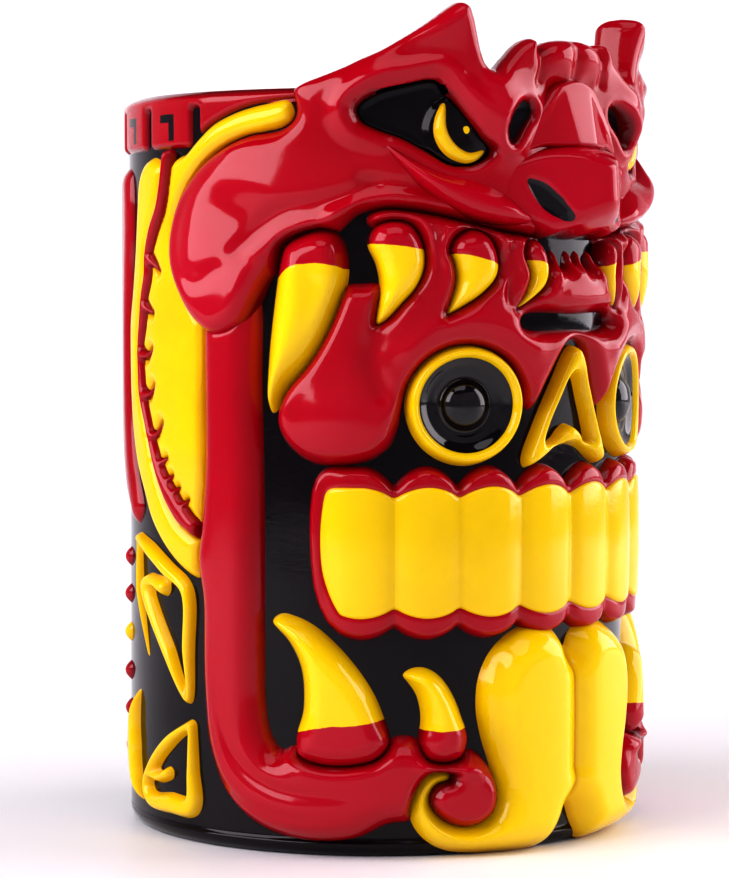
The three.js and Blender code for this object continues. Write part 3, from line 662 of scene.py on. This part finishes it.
BAND_LOW = 120.6  # height of the band's lower edge, mm
BLOCK_PITCH = 18.0  # degrees
BAND_FRONT = [
    (100, 118.8), (96.4, 119), (92, 119.9), (88, 122.3), (83, 124.7), (76, 126.8), (68, 128), (62, 128.4),
]
SIDE_PLUME = [
    (120.8, 117.4), (118.4, 108), (120, 99), (121.4, 88), (120.6, 76), (117, 66), (111.4, 57.4),
    (115, 54.6), (121, 58), (128, 66), (134, 80), (137, 96), (136, 110), (130, 117.4),
]
BACK_PLUME = both_sides([
    (180, 36), (172, 41), (166, 50), (163, 62), (158, 76), (156, 92), (158, 108), (166, 117), (180, 118.4),
], middle=180)


def ring_outline(centre, radius, count=72):
    turns = np.arange(count) * 2 * math.pi / count
    return np.stack([arc(centre[0]) + radius * np.cos(turns), centre[1] + radius * np.sin(turns)], axis=1)


def patch_round(points, margin):
    """The outline of the upright rectangle that holds some points in mm, with a margin."""
    low, high = np.min(points, axis=0) - margin, np.max(points, axis=0) + margin
    return np.array([low, (high[0], low[1]), high, (low[0], high[1])])


# ---------- Cup ----------

CUP_TURNS = 360  # columns of the cup's mesh
FOOT_ROUND = 2.6  # mm
LIP_RISE = 1.8  # mm
WELL_ROUND = 4.0  # mm
BASE = [(0, 0.6), (30, 0.6), (33.4, 0.5), (34.6, 0.1), (35.4, 0.0), (40, 0.0)]  # recess and foot ring


def quarter(radius, height, across, up, start, end, count):
    """Points along an elliptical corner of a profile, between two angles."""
    angles = np.linspace(start, end, count)
    return [(radius + across * math.cos(a), height + up * math.sin(a)) for a in angles]


def turned(rows, turns):
    """The quads of a surface turned from a profile, whose points go round row by row."""
    column = np.arange(turns)
    after = (column + 1) % turns
    ring = np.stack([column, turns + column, turns + after, after], axis=1)
    return np.concatenate([ring + row * turns for row in range(rows - 1)])


def cup():
    """The wall with the bulge of the face, the rim, the well, and a foot ring round a recessed base."""
    inner, lip_centre = RADIUS - WALL, RADIUS - WALL / 2
    right = math.pi / 2
    foot = quarter(RADIUS - FOOT_ROUND, FOOT_ROUND, FOOT_ROUND, FOOT_ROUND, -right, 0, 9)
    outer = [(RADIUS, z) for z in np.arange(FOOT_ROUND, RIM - LIP_RISE, 0.9)]
    lip = quarter(lip_centre, RIM - LIP_RISE, WALL / 2, LIP_RISE, 0, math.pi, 21)
    well = [(inner, z) for z in np.arange(RIM - 4, CUP_FLOOR + WELL_ROUND, -3)]
    corner = quarter(inner - WELL_ROUND, CUP_FLOOR + WELL_ROUND, WELL_ROUND, WELL_ROUND, 0, -right, 9)
    profile = np.array(BASE + foot + outer + lip + well + corner + [(20, CUP_FLOOR), (0, CUP_FLOOR)])
    rows, turns = len(profile), np.arange(CUP_TURNS) * 2 * math.pi / CUP_TURNS
    radius, height = (np.repeat(profile[:, k : k + 1], CUP_TURNS, axis=1) for k in (0, 1))
    s = np.where(turns > math.pi, turns - 2 * math.pi, turns)[None, :] * RADIUS
    radius = radius + prow(s, height) * (np.abs(radius - RADIUS) < 1e-6)
    around_cup = (turns * RADIUS)[None, :].repeat(rows, axis=0).ravel()
    # Positive where the rim is red: outside, from just under the edge, and over the lip.
    outside = (radius > lip_centre - 1.2) & (height > BAND_LOW)
    tint = np.where(outside, height - (RIM - 2.2), -5.0).ravel()
    # The cup gets neither the darker foot colour (pooled glaze and painted shade) nor the painted light on
    # raised relief.
    attributes = {"edge": np.full(radius.size, 3.0), "rise": np.zeros(radius.size), "tint": tint}
    points = wrapped(around_cup, height.ravel(), radius.ravel())
    piece = mesh_object("cup_glazed", points, turned(rows, CUP_TURNS), attributes, black_and_red)
    settle(piece, "black_glaze", "cup")


# ---------- Beast's head ----------

HEAD_RELIEF = 2.9  # mm
EAR_ROUND = 3.1  # how far in from its outline an ear reaches its full thickness, mm
EAR_CURVE = 2.3  # power of the rounded edge's superellipse
EAR_EDGE = 45.6  # distance of an ear's edge from the axis, mm
EAR_BACK = RADIUS - WALL + 0.6  # distance of an ear's back from the axis, mm
EAR_LEAN = 0.014  # how fast an ear leans forward above the rim, mm per square mm
LOBE_LIFT = 3.2  # how far the lobe stands over the jaw it covers, mm
BEAST_EYE = (27.6, 122.6)
BEAST_EYE_SIZE = (6.4, 6.6, 1.9)  # half its width, half its height and its bulge, mm
FOLD_LINE = [(12, 108.4), (26, 111.4), (47, 121.4)]

# place, height, half its width, half its height, lean in degrees
HEAD_MOUNDS = [
    ((20, 126.6), 3.0, 4.2, 8.0, -12),  # beside the hollow
    ((84.5, 106), 1.7, 7.4, 9.0, -14),  # lobe
    ((70, 114), 1.3, 9, 5, 20),
    ((36, 135.4), -0.9, 5.5, 3.0, 25),  # inside of the ear
    ((4.6, 135.6), 0.8, 3.4, 2.6, 0),  # forelocks
    ((5.6, 130.6), -1.4, 3.4, 2.2, 0),
]
# places, height, width
HEAD_RIDGES = [
    ([(80, 119), (87.4, 113), (89.2, 106), (87.6, 100), (83, 97.6), (78, 99.6)], -0.4, 1.6),  # lobe's swirl
    ([(50, 110.2), (56, 107.6), (64, 106), (70, 102.4)], 0.5, 1.2),  # lip by the big fang
    ([(46, 113.4), (56, 111), (66, 109), (74, 103)], -0.7, 1.5),
    ([(9, 106.6), (22, 108.2), (36, 110.8), (46, 111.2), (54, 108.8)], 0.9, 1.3),  # upper lip
    ([(16, 109.2), (26, 111), (38, 113.6), (48, 114.6)], -0.6, 1.3),
    ([(9.4, 137.4), (9.4, 134.4), (9.8, 131.6)], -0.9, 0.8),  # partings of the forelocks
    ([(0, 138.4), (0, 134.6), (0, 132)], -0.7, 1.0),
]


def eyes_and_hollows(s, z):
    """Signed distance to the openings in the head's skin."""
    t = np.abs(s)
    return np.maximum(within(EYE_SOCKET, t, z), within(BROW_HOLLOW, t, z))


def head_height(s, z, depth):
    t = np.abs(s)
    lower = dome(depth, HEAD_RELIEF, 3.4) - bump((44, 121), t, z, 0.9, 12, 5) * unit(depth / 3)
    socket, hollow = (within(hole, t, z, reach=12) for hole in (EYE_SOCKET, BROW_HOLLOW))
    shape = 1.5 * bell((socket + 2.1) / 1.5) * steps(z + 0.3 * (t - 25), 119.5, 127)
    shape += 0.5 * bell((hollow + 1.0) / 0.8)
    shape += mounds(HEAD_MOUNDS, t, z) + ridges(HEAD_RIDGES, t, z)
    return lower + shape * unit(depth / 1.6)


def lobe_lift(s, z, depth):
    over_jaw = steps(np.abs(s), arc(60), arc(75)) * steps(-z, -111, -92)
    return LOBE_LIFT * over_jaw * unit(1 + depth / 0.4)


def head():
    """The skin of the head and, above the rim, its ears and forelocks, closed behind."""
    outline = spline(HEAD)
    s, z = grid(outline, CELL)
    depth = inside(outline, s, z)
    fang = within(UPPER_FANGS[0], np.abs(s), z)
    cut = less(depth, eyes_and_hollows(s, z), fang, gap=0.1)
    skin = tucked(soften(head_height(s, z, depth), CELL), cut, crease=0.6, width=0.7)
    skin = RADIUS + prow(s, z) + skin + lobe_lift(s, z, depth)
    standing = RADIUS + soften(head_height(s, z, np.maximum(depth, 3.5)), CELL)
    standing = standing + EAR_LEAN * np.clip(z - RIM, 0, None) ** 2
    thickness = (1 - (1 - unit(depth / EAR_ROUND)) ** EAR_CURVE) ** (1 / EAR_CURVE)
    above = steps(z, RIM - 2.5, RIM + 0.6)
    outer = skin * (1 - above) + (EAR_EDGE + (standing - EAR_EDGE) * thickness) * above
    behind = EAR_EDGE - (EAR_EDGE - EAR_BACK) * thickness
    level = np.where(z > RIM - 1, 0.0, BURIED)
    layers = [outer, cut, np.clip(outer - RADIUS, 0, 9)]
    ps, pz, quads, (radius, edge, rise), moved = trimmed(s, z, cut - level, 0.0, layers)
    radius = np.where(moved & (pz > RIM + 0.6), EAR_EDGE, radius)
    back_depth = np.minimum(depth, z - (RIM - 3))
    bs, bz, back_quads, (back_radius, back_edge), moved = trimmed(s, z, back_depth, 0.0, [behind, depth])
    back_radius = np.where(moved & (bz > RIM + 0.6), EAR_EDGE, back_radius)
    points = np.concatenate([wrapped(ps, pz, radius), wrapped(bs, bz, back_radius)])
    faces = np.concatenate([quads[:, ::-1], back_quads + len(ps)])
    # edge drives the darker foot colour, partly pooled glaze and partly painted shade, and rise drives the
    # painted light on tall relief. Above the rim the ears get less of the darker foot colour, and their
    # backs get none of the painted light.
    attributes = {
        "edge": np.concatenate([edge + 1.2 * (pz > RIM), back_edge + 1.2]),
        "rise": np.concatenate([rise, back_edge * 0 + 2]),
        "tint": np.full(len(points), -9.0),
    }
    piece = mesh_object("beast_head_glazed", points, faces, attributes, red)
    weld(piece)
    settle(piece, "red_glaze", "beast_head", "left_ear", "right_ear", "forehead_crest")


def weld(piece, distance=0.02 * MM):
    """Joins the corners of a piece that lie in one place."""
    work = bmesh.new()
    work.from_mesh(piece.data)
    bmesh.ops.remove_doubles(work, verts=work.verts, dist=distance)
    work.to_mesh(piece.data)
    work.free()


def beast_eye_height(s, z):
    across, up, bulge = BEAST_EYE_SIZE
    reach = 1 - ((s - arc(BEAST_EYE[0])) / across) ** 2 - ((z - BEAST_EYE[1]) / up) ** 2
    return bulge * np.sqrt(unit(reach))


def socket_form(s, z, depth):
    lid = 0.5 * bell(depth / 0.8)
    return depth, np.where(depth < 0, depth, 0.3) + beast_eye_height(s, z) + 0.2 + lid


def eye_dot_paint(s, z):
    return within(EYE_DOT, s, z)


def crescent_form(s, z, depth):
    return depth, dome(depth, 0.7, 0.8) + beast_eye_height(s, z) + 0.6


def fold_form(s, z, depth):
    """A shelf under the eye that faces up."""
    keel = ridge([(42, 119.6), (34, 114.6), (26, 111.6), (18, 109.6)], s, z, 0.5, 1.3)
    below = np.interp(s, [arc(d) for d, _ in FOLD_LINE], [height for _, height in FOLD_LINE]) - z
    shelf = 0.45 * np.clip(below, -4, 4)
    return depth, seated(depth, HEAD_RELIEF - 1.1, 3.5, 3.0) + (keel + shelf) * unit(depth / 1.5)


def hollow_form(s, z, depth):
    return depth, 2.6 - 0.5 * bell(depth / 1.2 - 1)


def bridge_form(s, z, depth):
    """A roof whose flat top widens and whose flanks deepen on the way down from its peak."""
    down = 131 - z
    top = 3.4 + 0.25 * down
    half = 3.0 - 0.13 * down
    flank = np.maximum(top - 0.30 * np.clip(np.abs(s) - half, 0, None), 3.5)
    return depth, np.minimum(flank, seated(depth, 1.4, 5.5, 2.2))


def muzzle_form(s, z, depth):
    """A wedge: flat flanks from a blunt ridge, a top that falls back to the bridge, and a chin."""
    aside = np.sqrt(s**2 + 1.8**2) - 1.0
    flank = 1.0 + 11.5 * np.exp(-aside / 7.8)
    top = 4.4 + 2.2 * (121.6 - z - 0.05 * np.abs(s))
    chin = 2.6 + 1.8 * (z - 105.2)
    height = softly(softly(flank, top, 2.0), chin, 3.0)
    height = height - 0.7 * steps(nostril_paint(s, z), -0.5, 0.7)
    lip = ridge([(13, 107.6), (7, 106.2), (0, 106)], np.abs(s), z, 0.5, 0.9)
    return depth, np.minimum(height + lip, seated(depth, 1.2, 11, 7.0))


def nostril_paint(s, z):
    return within(NOSTRIL, np.abs(s), z)


# ---------- Skull ----------

FANG_TUCK = 2.4  # how far a small upper fang runs on under the beast's lip, mm
BIG_FANG_RIDGES = [
    ([(61.5, 100), (62, 92), (65, 84), (67.6, 78)], 0.6, 1.5),
    ([(57, 97), (59.4, 89), (63.6, 82)], -0.25, 1.3),
]
BROW_RIDGES = [
    ([(43.6, 92), (46.4, 85), (44.6, 79)], -1.0, 2.2),
    ([(12, 86), (18.6, 89.8), (26.3, 91), (34, 89.4), (39, 86)], 0.8, 1.8),  # over the eye
    ([(17.6, 103), (17.8, 98), (17.4, 94)], -1.3, 1.0),  # between the fangs
    ([(33, 105), (33.4, 100), (36, 95)], -0.6, 0.9),
]
BOWL_START, BOWL_REACH, BOWL_STEP = 4.4, 3.6, 5.6  # radii in the skull's eye, mm


def upper_fangs(s, z):
    t = np.abs(s)
    return np.maximum.reduce([within(fang, t, z) for fang in UPPER_FANGS])


def above_line(places, s, z):
    """Distance above a line of places that runs across a piece, in mm."""
    line = course(places)
    line = line[np.argsort(line[:, 0])]
    return z - np.interp(s, line[:, 0], line[:, 1])


def socket_rims(s, z):
    """The raised edges round the roots of the smaller upper fangs."""
    t = np.abs(s)
    height = np.zeros(s.shape)
    for fang in UPPER_FANGS[1:]:
        out = -within(fang, t, z)
        height = np.maximum(height, bell((out - 1.25) / 0.6))
    return height * steps(z, 92, 101)


def fang_form(s, z, depth):
    under_lip = less(depth * 0 + 9, within(HEAD, s, z), gap=-FANG_TUCK)
    return depth, seated(depth, 1.9, 2.7, 3.4), under_lip, 0.0


def big_fang_form(s, z, depth):
    return depth, dome(depth, 4.4, 4.0) + ridges(BIG_FANG_RIDGES, s, z) * unit(depth / 1.5)


def brow_form(s, z, depth):
    t = np.abs(s)
    ring = inside(ring_outline(EYE_CENTRE, EYE_RING[0]), t, z)
    mouth, slot, nose = (within(places, s, z) for places in (MOUTH_GAP, BROW_SLOT, NOSE))
    depth = less(depth, mouth, slot, gap=0.1)
    shape = bump((54, 75), t, z, 1.2, 8, 6.5) + ridges(BROW_RIDGES, t, z) + 0.8 * socket_rims(s, z)
    neighbours = np.maximum.reduce([upper_fangs(s, z), ring, nose, within(HEAD, s, z)])
    return depth, dome(depth, 3.4, 3.2) + shape * unit(depth / 1.5), -neighbours + 0.1, 1.1


def eye_ring_form(s, z, depth):
    hole = inside(ring_outline(EYE_CENTRE, EYE_RING[1]), s, z)
    depth = less(depth, hole, gap=0.0)
    return depth, dome(depth, 3.2, 1.45, power=2.4)


def eyeball_form(s, z, depth):
    """A bowl with a step in it round a domed pupil."""
    from_centre = np.hypot(s - arc(EYE_CENTRE[0]), z - EYE_CENTRE[1])
    bowl = 0.25 + 1.8 * unit((from_centre - BOWL_START) / BOWL_REACH) ** 2
    step = 0.35 * bell((from_centre - BOWL_STEP) / 0.5)
    pupil = 2.6 * np.sqrt(unit(1 - (from_centre / PUPIL) ** 2))
    return depth, np.maximum(bowl + step, pupil + 0.1)


def nose_form(s, z, depth):
    depth = less(depth, within(NOSE_HOLE, s, z), gap=0.0)
    return depth, dome(depth, 3.1, 1.5, power=2.4)


def scallop(share, notch, crest):
    """An edge that runs from notch, between teeth, to crest. share counts the teeth."""
    return notch + (crest - notch) * np.abs(np.sin(math.pi * share)) ** 0.75


def teeth_surface(s, z):
    """The front of the whole row of teeth: barrels with shallow valleys between them."""
    share = s / arc(TOOTH_PITCH)
    from_valley = np.abs(share - np.round(share)) * arc(TOOTH_PITCH)
    barrel = 0.9 * np.abs(np.sin(math.pi * share)) ** 0.8 - 0.25 * bell(from_valley / 1.3)
    barrel = np.where(np.abs(share) > TEETH_PER_SIDE, -0.45, barrel)
    return 2.15 + barrel - 0.4 * ((z - 52) / 14) ** 2


def gum():
    """One band of gum round all the teeth: its scalloped outline follows them."""
    shares = np.linspace(0, TEETH_PER_SIDE, 81)[:-3]
    top = [(p * TOOTH_PITCH, scallop(min(p, LAST_CREST), GUM_TOP_NOTCH, GUM_TOP)) for p in shares]
    bottom = [(p * TOOTH_PITCH, scallop(p, GUM_BOTTOM_NOTCH, GUM_BOTTOM)) for p in shares]
    half = bottom + GUM_END[::-1] + top[::-1]
    outline = np.array([(arc(degrees), z) for degrees, z in both_sides(half)])

    def form(s, z, depth):
        under = 1.2 * unit(teeth_depth(s, z) / 0.8 - 0.6)
        return depth, np.minimum(teeth_surface(s, z), dome(depth, 3.4, 2.4)) - under

    relief("gum", outline, form, red, cell=0.25)


def teeth_depth(s, z):
    """Signed distance to the edge of the whole row of teeth."""
    share = s / arc(TOOTH_PITCH)
    top = scallop(np.minimum(np.abs(share), LAST_CREST), TEETH_TOP_NOTCH, TEETH_TOP) - z
    bottom = z - scallop(share, TEETH_BOTTOM_NOTCH, TEETH_BOTTOM)
    bow = 0.012 * (z - 54) ** 2 + 0.02 * np.clip(50 - z, 0, None) ** 2
    end = arc(TEETH_END) - bow - np.abs(s)
    return np.minimum(softly(top, end, 2.0), bottom)


def teeth():
    for index in range(2 * TEETH_PER_SIDE):
        left, right = ((index - TEETH_PER_SIDE + k) * TOOTH_PITCH for k in (0, 1))
        outline = patch_round([(arc(left - 3), 39), (arc(right + 3), 65)], 0)
        start = arc(-TEETH_END if index == 0 else left)
        end = arc(TEETH_END if index == 2 * TEETH_PER_SIDE - 1 else right)

        def form(s, z, depth):
            cut = np.minimum(s - start, end - s)
            free = teeth_depth(s, z)
            front = np.where(free < 0, SKIRT * free, 0.3 * (1 - np.exp(-free / 0.25)))
            return free, teeth_surface(s, z) + front, cut, 0.0, 0.6

        relief("skull_tooth_" + str(index + 1), outline, form, yellow, cell=FINE)


def upper_fang_pieces():
    """Yellow fangs with red roots, hanging from the beast's lip."""
    for number, (fang, cap) in enumerate(zip(UPPER_FANGS, CAP_LINES), 1):

        def paint(s, z):
            return -above_line(cap, s, z)

        form = big_fang_form if number == 1 else fang_form
        name = "upper_fang_" + str(number)
        fine_pair(name, fang, form, red_and_yellow, "yellow_glaze", paint=paint)


# ---------- Lower jaw and tongue ----------

# Grooves and the crest of the jaw's lower part, and of its curl by the tongue.
JAW_GROOVES = [
    ([(81, 42), (79.6, 28), (75, 17), (66, 12), (44, 11)], -0.5, 1.1),
    ([(84, 40), (83, 22), (79, 12.6), (68, 7.8), (48, 7)], -0.4, 0.9),
]
JAW_CURL = [(36, 16), (30, 15.6), (24.6, 15)]
TONGUE_RIDGES = [(TONGUE_CREASE, -0.6, 1.2), ([(0, 37), (0, 30), (0, 14)], -1.7, 2.4)]


def tongue_shape(s, z):
    return np.maximum(within(TONGUE, s, z), within(TONGUE, -s, z))


def jaw_form(s, z, depth):
    fangs = np.maximum.reduce([within(fang, s, z) for fang in LOWER_FANGS])
    low = steps(s, arc(44), arc(66)) * steps(-z, -40, -24)
    shape = ridges(JAW_GROOVES, s, z) * low + ridge(JAW_CURL, s, z, 1.0, 1.1)
    height = dome(depth, 4.2, 5.4, power=2.6) + shape * unit(depth / 2)
    neighbours = np.maximum.reduce([fangs, tongue_shape(s, z), within(HEAD, s, z) - 1.6])
    return depth, height, -neighbours + 0.1, 1.2


def lower_fang_form(s, z, depth):
    base = 1.7 * steps(-z, -25, -20)
    return depth, seated(depth, base, 4.7 - base, 4.2)


def lower_fang_pieces():
    """Yellow fangs with red collars, standing on the jaw."""
    for number, (fang, collar) in enumerate(zip(LOWER_FANGS, COLLARS), 1):

        def paint(s, z):
            return above_line(collar, s, z)

        name = "lower_fang_" + str(number)
        fine_pair(name, fang, lower_fang_form, red_and_yellow, "yellow_glaze", paint=paint)


def tongue_form(s, z, depth):
    """One half of the tongue, which meets the other just beside the middle."""
    depth = tongue_shape(s, z)
    height = dome(depth, 5.2, 5.6) + ridges(TONGUE_RIDGES, s, z) * unit(depth / 2)
    return depth, height, s - 0.04, 0.25


# ---------- Frill behind the jaw ----------


def spine_depth(s, z):
    """Signed distance to the spine with its hooks, which taper to points."""
    hooks = [[(*place, width) for place, width in zip(hook, HOOK_WIDTHS)] for hook in SPINE_HOOKS]
    return np.maximum.reduce([tapered(stroke, s, z) for stroke in (SPINE, *hooks)])


def frill_form(s, z, depth):
    shape = bump((101, 84), s, z, 0.4, 5, 20) + bump((90, 74), s, z, 0.5, 4, 14)
    height = dome(depth, 1.7, 2.0) + shape * unit(depth / 2)
    pieces = [within(JAW, s, z), within(HEAD, s, z), spine_depth(s, z)]
    return depth, height, -np.maximum.reduce(pieces) + 0.05, 0.7


def spine():
    def form(s, z, depth):
        depth = less(spine_depth(s, z), within(JAW, s, z), gap=0.1)
        return depth, seated(depth, 0.9, 1.6, 1.3)

    outline = patch_round(course(SPINE), 4)
    fine_pair("frill_spine", outline, form, red)


# ---------- Frets, beads, rim and back ----------

STROKE_HEIGHT = 1.9  # mm
YELLOW_BEAD = BEADS[3]
BAND_START = 62.6  # where the band of blocks begins, behind the ear, degrees
FIRST_SLOT = 106.6  # degrees
SLOT_HALF = 0.75  # half the width of the slots between blocks, and of the upright of an inlay, mm


def strokes(name, *lines):
    def form(s, z, depth):
        depth = np.maximum.reduce([tapered(line, s, z) for line in lines])
        return depth, dome(depth, STROKE_HEIGHT, 1.3)

    outline = patch_round(np.concatenate([course(line) for line in lines]), 3)
    fine_pair(name, outline, form, yellow)


def beads():
    centres = np.array([(arc(degrees), z) for degrees, z in BEADS])

    def form(s, z, depth):
        depth = np.maximum.reduce([BEAD_RADIUS - np.hypot(s - a, z - b) for a, b in centres])
        return depth, dome(depth, 1.3, BEAD_RADIUS, power=2)

    def paint(s, z):
        return 3.0 - np.hypot(s - arc(YELLOW_BEAD[0]), z - YELLOW_BEAD[1])

    outline = patch_round(centres, 6)
    fine_pair("beads", outline, form, red_and_yellow, "red_glaze", paint=paint)


def rim_band():
    """Blocks of red below the rim, from behind each ear round the back, each with a hooked black inlay."""
    outline = patch_round([(arc(BAND_START), BAND_LOW - 1), (arc(360 - BAND_START), RIM)], 0)

    def form(s, z, depth):
        above_front = above_line(BAND_FRONT, np.minimum(s, arc(360) - s), z)
        depth = np.minimum(np.minimum(z - BAND_LOW, above_front), 9.0)
        depth = np.where(z > RIM - 1.8, np.minimum(depth, RIM - 0.2 - z), depth)
        turn = np.mod(np.degrees(s / RADIUS) - FIRST_SLOT, BLOCK_PITCH)
        from_slot = arc(1) * np.minimum(turn, BLOCK_PITCH - turn)
        slot = np.minimum(SLOT_HALF - from_slot, 127.4 - z)
        depth = less(depth, np.maximum(slot, -4), gap=0.1)
        return depth, dome(depth, 0.9, 0.9)

    def paint(s, z):
        """The hooked inlay, on the whole blocks only."""
        degrees = np.degrees(s / RADIUS)
        ds = arc(1) * (np.mod(degrees - FIRST_SLOT + BLOCK_PITCH, BLOCK_PITCH) - 0.45 * BLOCK_PITCH)
        bar = np.minimum(SLOT_HALF - np.abs(ds + 0.5), np.minimum(z - 122, 126.6 - z))
        arm = np.minimum(2.0 - np.abs(ds - 0.9), 0.7 - np.abs(z - 125.9))
        return np.where(np.abs(degrees - 180) < 90, np.maximum(bar, arm), -9.0)

    relief("rim_band", outline, form, red_and_black, "red_glaze", cell=FINE, paint=paint)


def plume_form(s, z, depth):
    return depth, dome(depth, 1.4, 3.0)


def back_plume_form(s, z, depth):
    """A leaf with a raised rib down its middle and slanting barbs."""
    aside = np.abs(s - arc(180))
    rib = 1.0 - unit(aside / 2.2)
    barbs = 0.35 * np.sin((z - 0.9 * aside) * 1.1)
    return depth, dome(depth, 2.8, 3.6) + (rib * 0.9 + barbs) * unit(depth / 3)


# ---------- Assembly ----------


cup()
head()
fine_pair("eye_socket", EYE_SOCKET, socket_form, black_and_yellow, "black_glaze", eye_dot_paint)
fine_pair("eye_crescent", EYE_CRESCENT, crescent_form, yellow)
fine_pair("cheek_fold", CHEEK_FOLD, fold_form, red)
fine_pair("brow_hollow", BROW_HOLLOW, hollow_form, black)
relief("nose_bridge", NOSE_BRIDGE, bridge_form, red, cell=FINE)
relief("muzzle", MUZZLE, muzzle_form, red_and_black, "red_glaze", cell=FINE, paint=nostril_paint)
upper_fang_pieces()
relief("skull_brow", BROW, brow_form, red)
fine_pair("eye_ring", ring_outline(EYE_CENTRE, EYE_RING[0]), eye_ring_form, yellow)
fine_pair("eyeball", ring_outline(EYE_CENTRE, EYE_RING[1] + 0.8), eyeball_form, wet_black, "black_glaze")
relief("nose_frame", NOSE, nose_form, yellow, cell=FINE)
gum()
teeth()
relief("jaw", JAW, jaw_form, red, pair=True)
lower_fang_pieces()
relief("tongue", TONGUE, tongue_form, yellow, pair=True)
relief("frill", FRILL, frill_form, yellow, pair=True)
spine()
strokes("upper_fret", UPPER_FRET, UPPER_FRET_LINE)
strokes("lower_fret", LOWER_FRET, LOWER_FRET_HOOK, LEAF)
beads()
rim_band()
relief("side_plume", SIDE_PLUME, plume_form, red, pair=True)
relief("back_plume", BACK_PLUME, back_plume_form, yellow)


# ---------- Floor, light and camera ----------

# In metres, and azimuths in degrees.
PAPER_FLAT, PAPER_BEND, PAPER_TOP = 1.0, 0.5, 1.1  # radius of the flat part, of the bend, and the height
PAPER_TURNS = 96
MIDDLE = (0, 0, 0.07)
CAMERA_AZIMUTH = -45.5
CAMERA_DISTANCE = 0.54
CAMERA_HEIGHT = 0.095
CAMERA_LENS = 120.7  # mm
AIM_HEIGHT = 0.069
AIM_ASIDE = -0.00211


def floor():
    """Pale paper under the mug that curves up far away on every side."""
    profile = [(r, 0.0) for r in (0, 0.05, 0.2, 0.5, PAPER_FLAT)]
    profile += quarter(PAPER_FLAT, PAPER_BEND, PAPER_BEND, PAPER_BEND, 0.1 - math.pi / 2, 0, 12)
    profile.append((PAPER_FLAT + PAPER_BEND, PAPER_TOP))
    turns = np.arange(PAPER_TURNS) * 2 * math.pi / PAPER_TURNS
    points = [(r * math.cos(a), r * math.sin(a), z) for r, z in profile for a in turns]
    material = bpy.data.materials.new("paper")
    material.use_nodes = True
    shader = material.node_tree.nodes["Principled BSDF"]
    shader.inputs["Base Color"].default_value = (0.92, 0.92, 0.93, 1)
    shader.inputs["Roughness"].default_value = 0.5
    made = mesh_object("floor", points, turned(len(profile), PAPER_TURNS), {}, material)


def facing(name, data, place, target):
    """A light or camera at a place, pointed at a target."""
    made = bpy.data.objects.new(name, data)
    made.location = place
    made.rotation_euler = (Vector(target) - Vector(place)).to_track_quat("-Z", "Y").to_euler()
    bpy.context.scene.collection.objects.link(made)
    return made


def softbox(name, place, target, size, power):
    light = bpy.data.lights.new(name, "AREA")
    light.shape = "RECTANGLE"
    light.size, light.size_y = size
    light.energy = power
    light.color = (1, 0.95, 1)
    facing(name, light, place, target)


def around(azimuth, distance, height):
    """A place seen from the mug at an azimuth in degrees: 0 is in front of the face, 90 is on +X."""
    a = math.radians(azimuth)
    return (distance * math.sin(a), -distance * math.cos(a), height)


def studio():
    scene = bpy.context.scene
    scene.view_settings.view_transform = "Standard"
    scene.view_settings.look = "High Contrast"
    world = bpy.data.worlds.new("studio")
    world.use_nodes = True
    world.node_tree.nodes["Background"].inputs["Color"].default_value = (0.95, 0.92, 1, 1)
    world.node_tree.nodes["Background"].inputs["Strength"].default_value = 0.07
    scene.world = world
    softbox("left", around(-104, 0.62, 0.42), MIDDLE, (0.7, 0.5), 3.9)
    softbox("right", around(54, 0.62, 0.30), MIDDLE, (0.6, 0.56), 3.2)
    softbox("top", around(-40, 0.35, 0.9), MIDDLE, (0.6, 0.6), 1.4)
    softbox("sweep", around(150, 0.5, 0.75), around(134.5, 1.3, 0.3), (0.8, 0.5), 6)


def camera():
    data = bpy.data.cameras.new("camera")
    data.sensor_width = 36
    data.lens = CAMERA_LENS
    aside = math.radians(CAMERA_AZIMUTH)
    across = Vector((math.cos(aside), math.sin(aside), 0))
    target = Vector((0, 0, AIM_HEIGHT)) + across * AIM_ASIDE
    place = around(CAMERA_AZIMUTH, CAMERA_DISTANCE, CAMERA_HEIGHT)
    bpy.context.scene.camera = facing("camera", data, place, target)


floor()
studio()
camera()
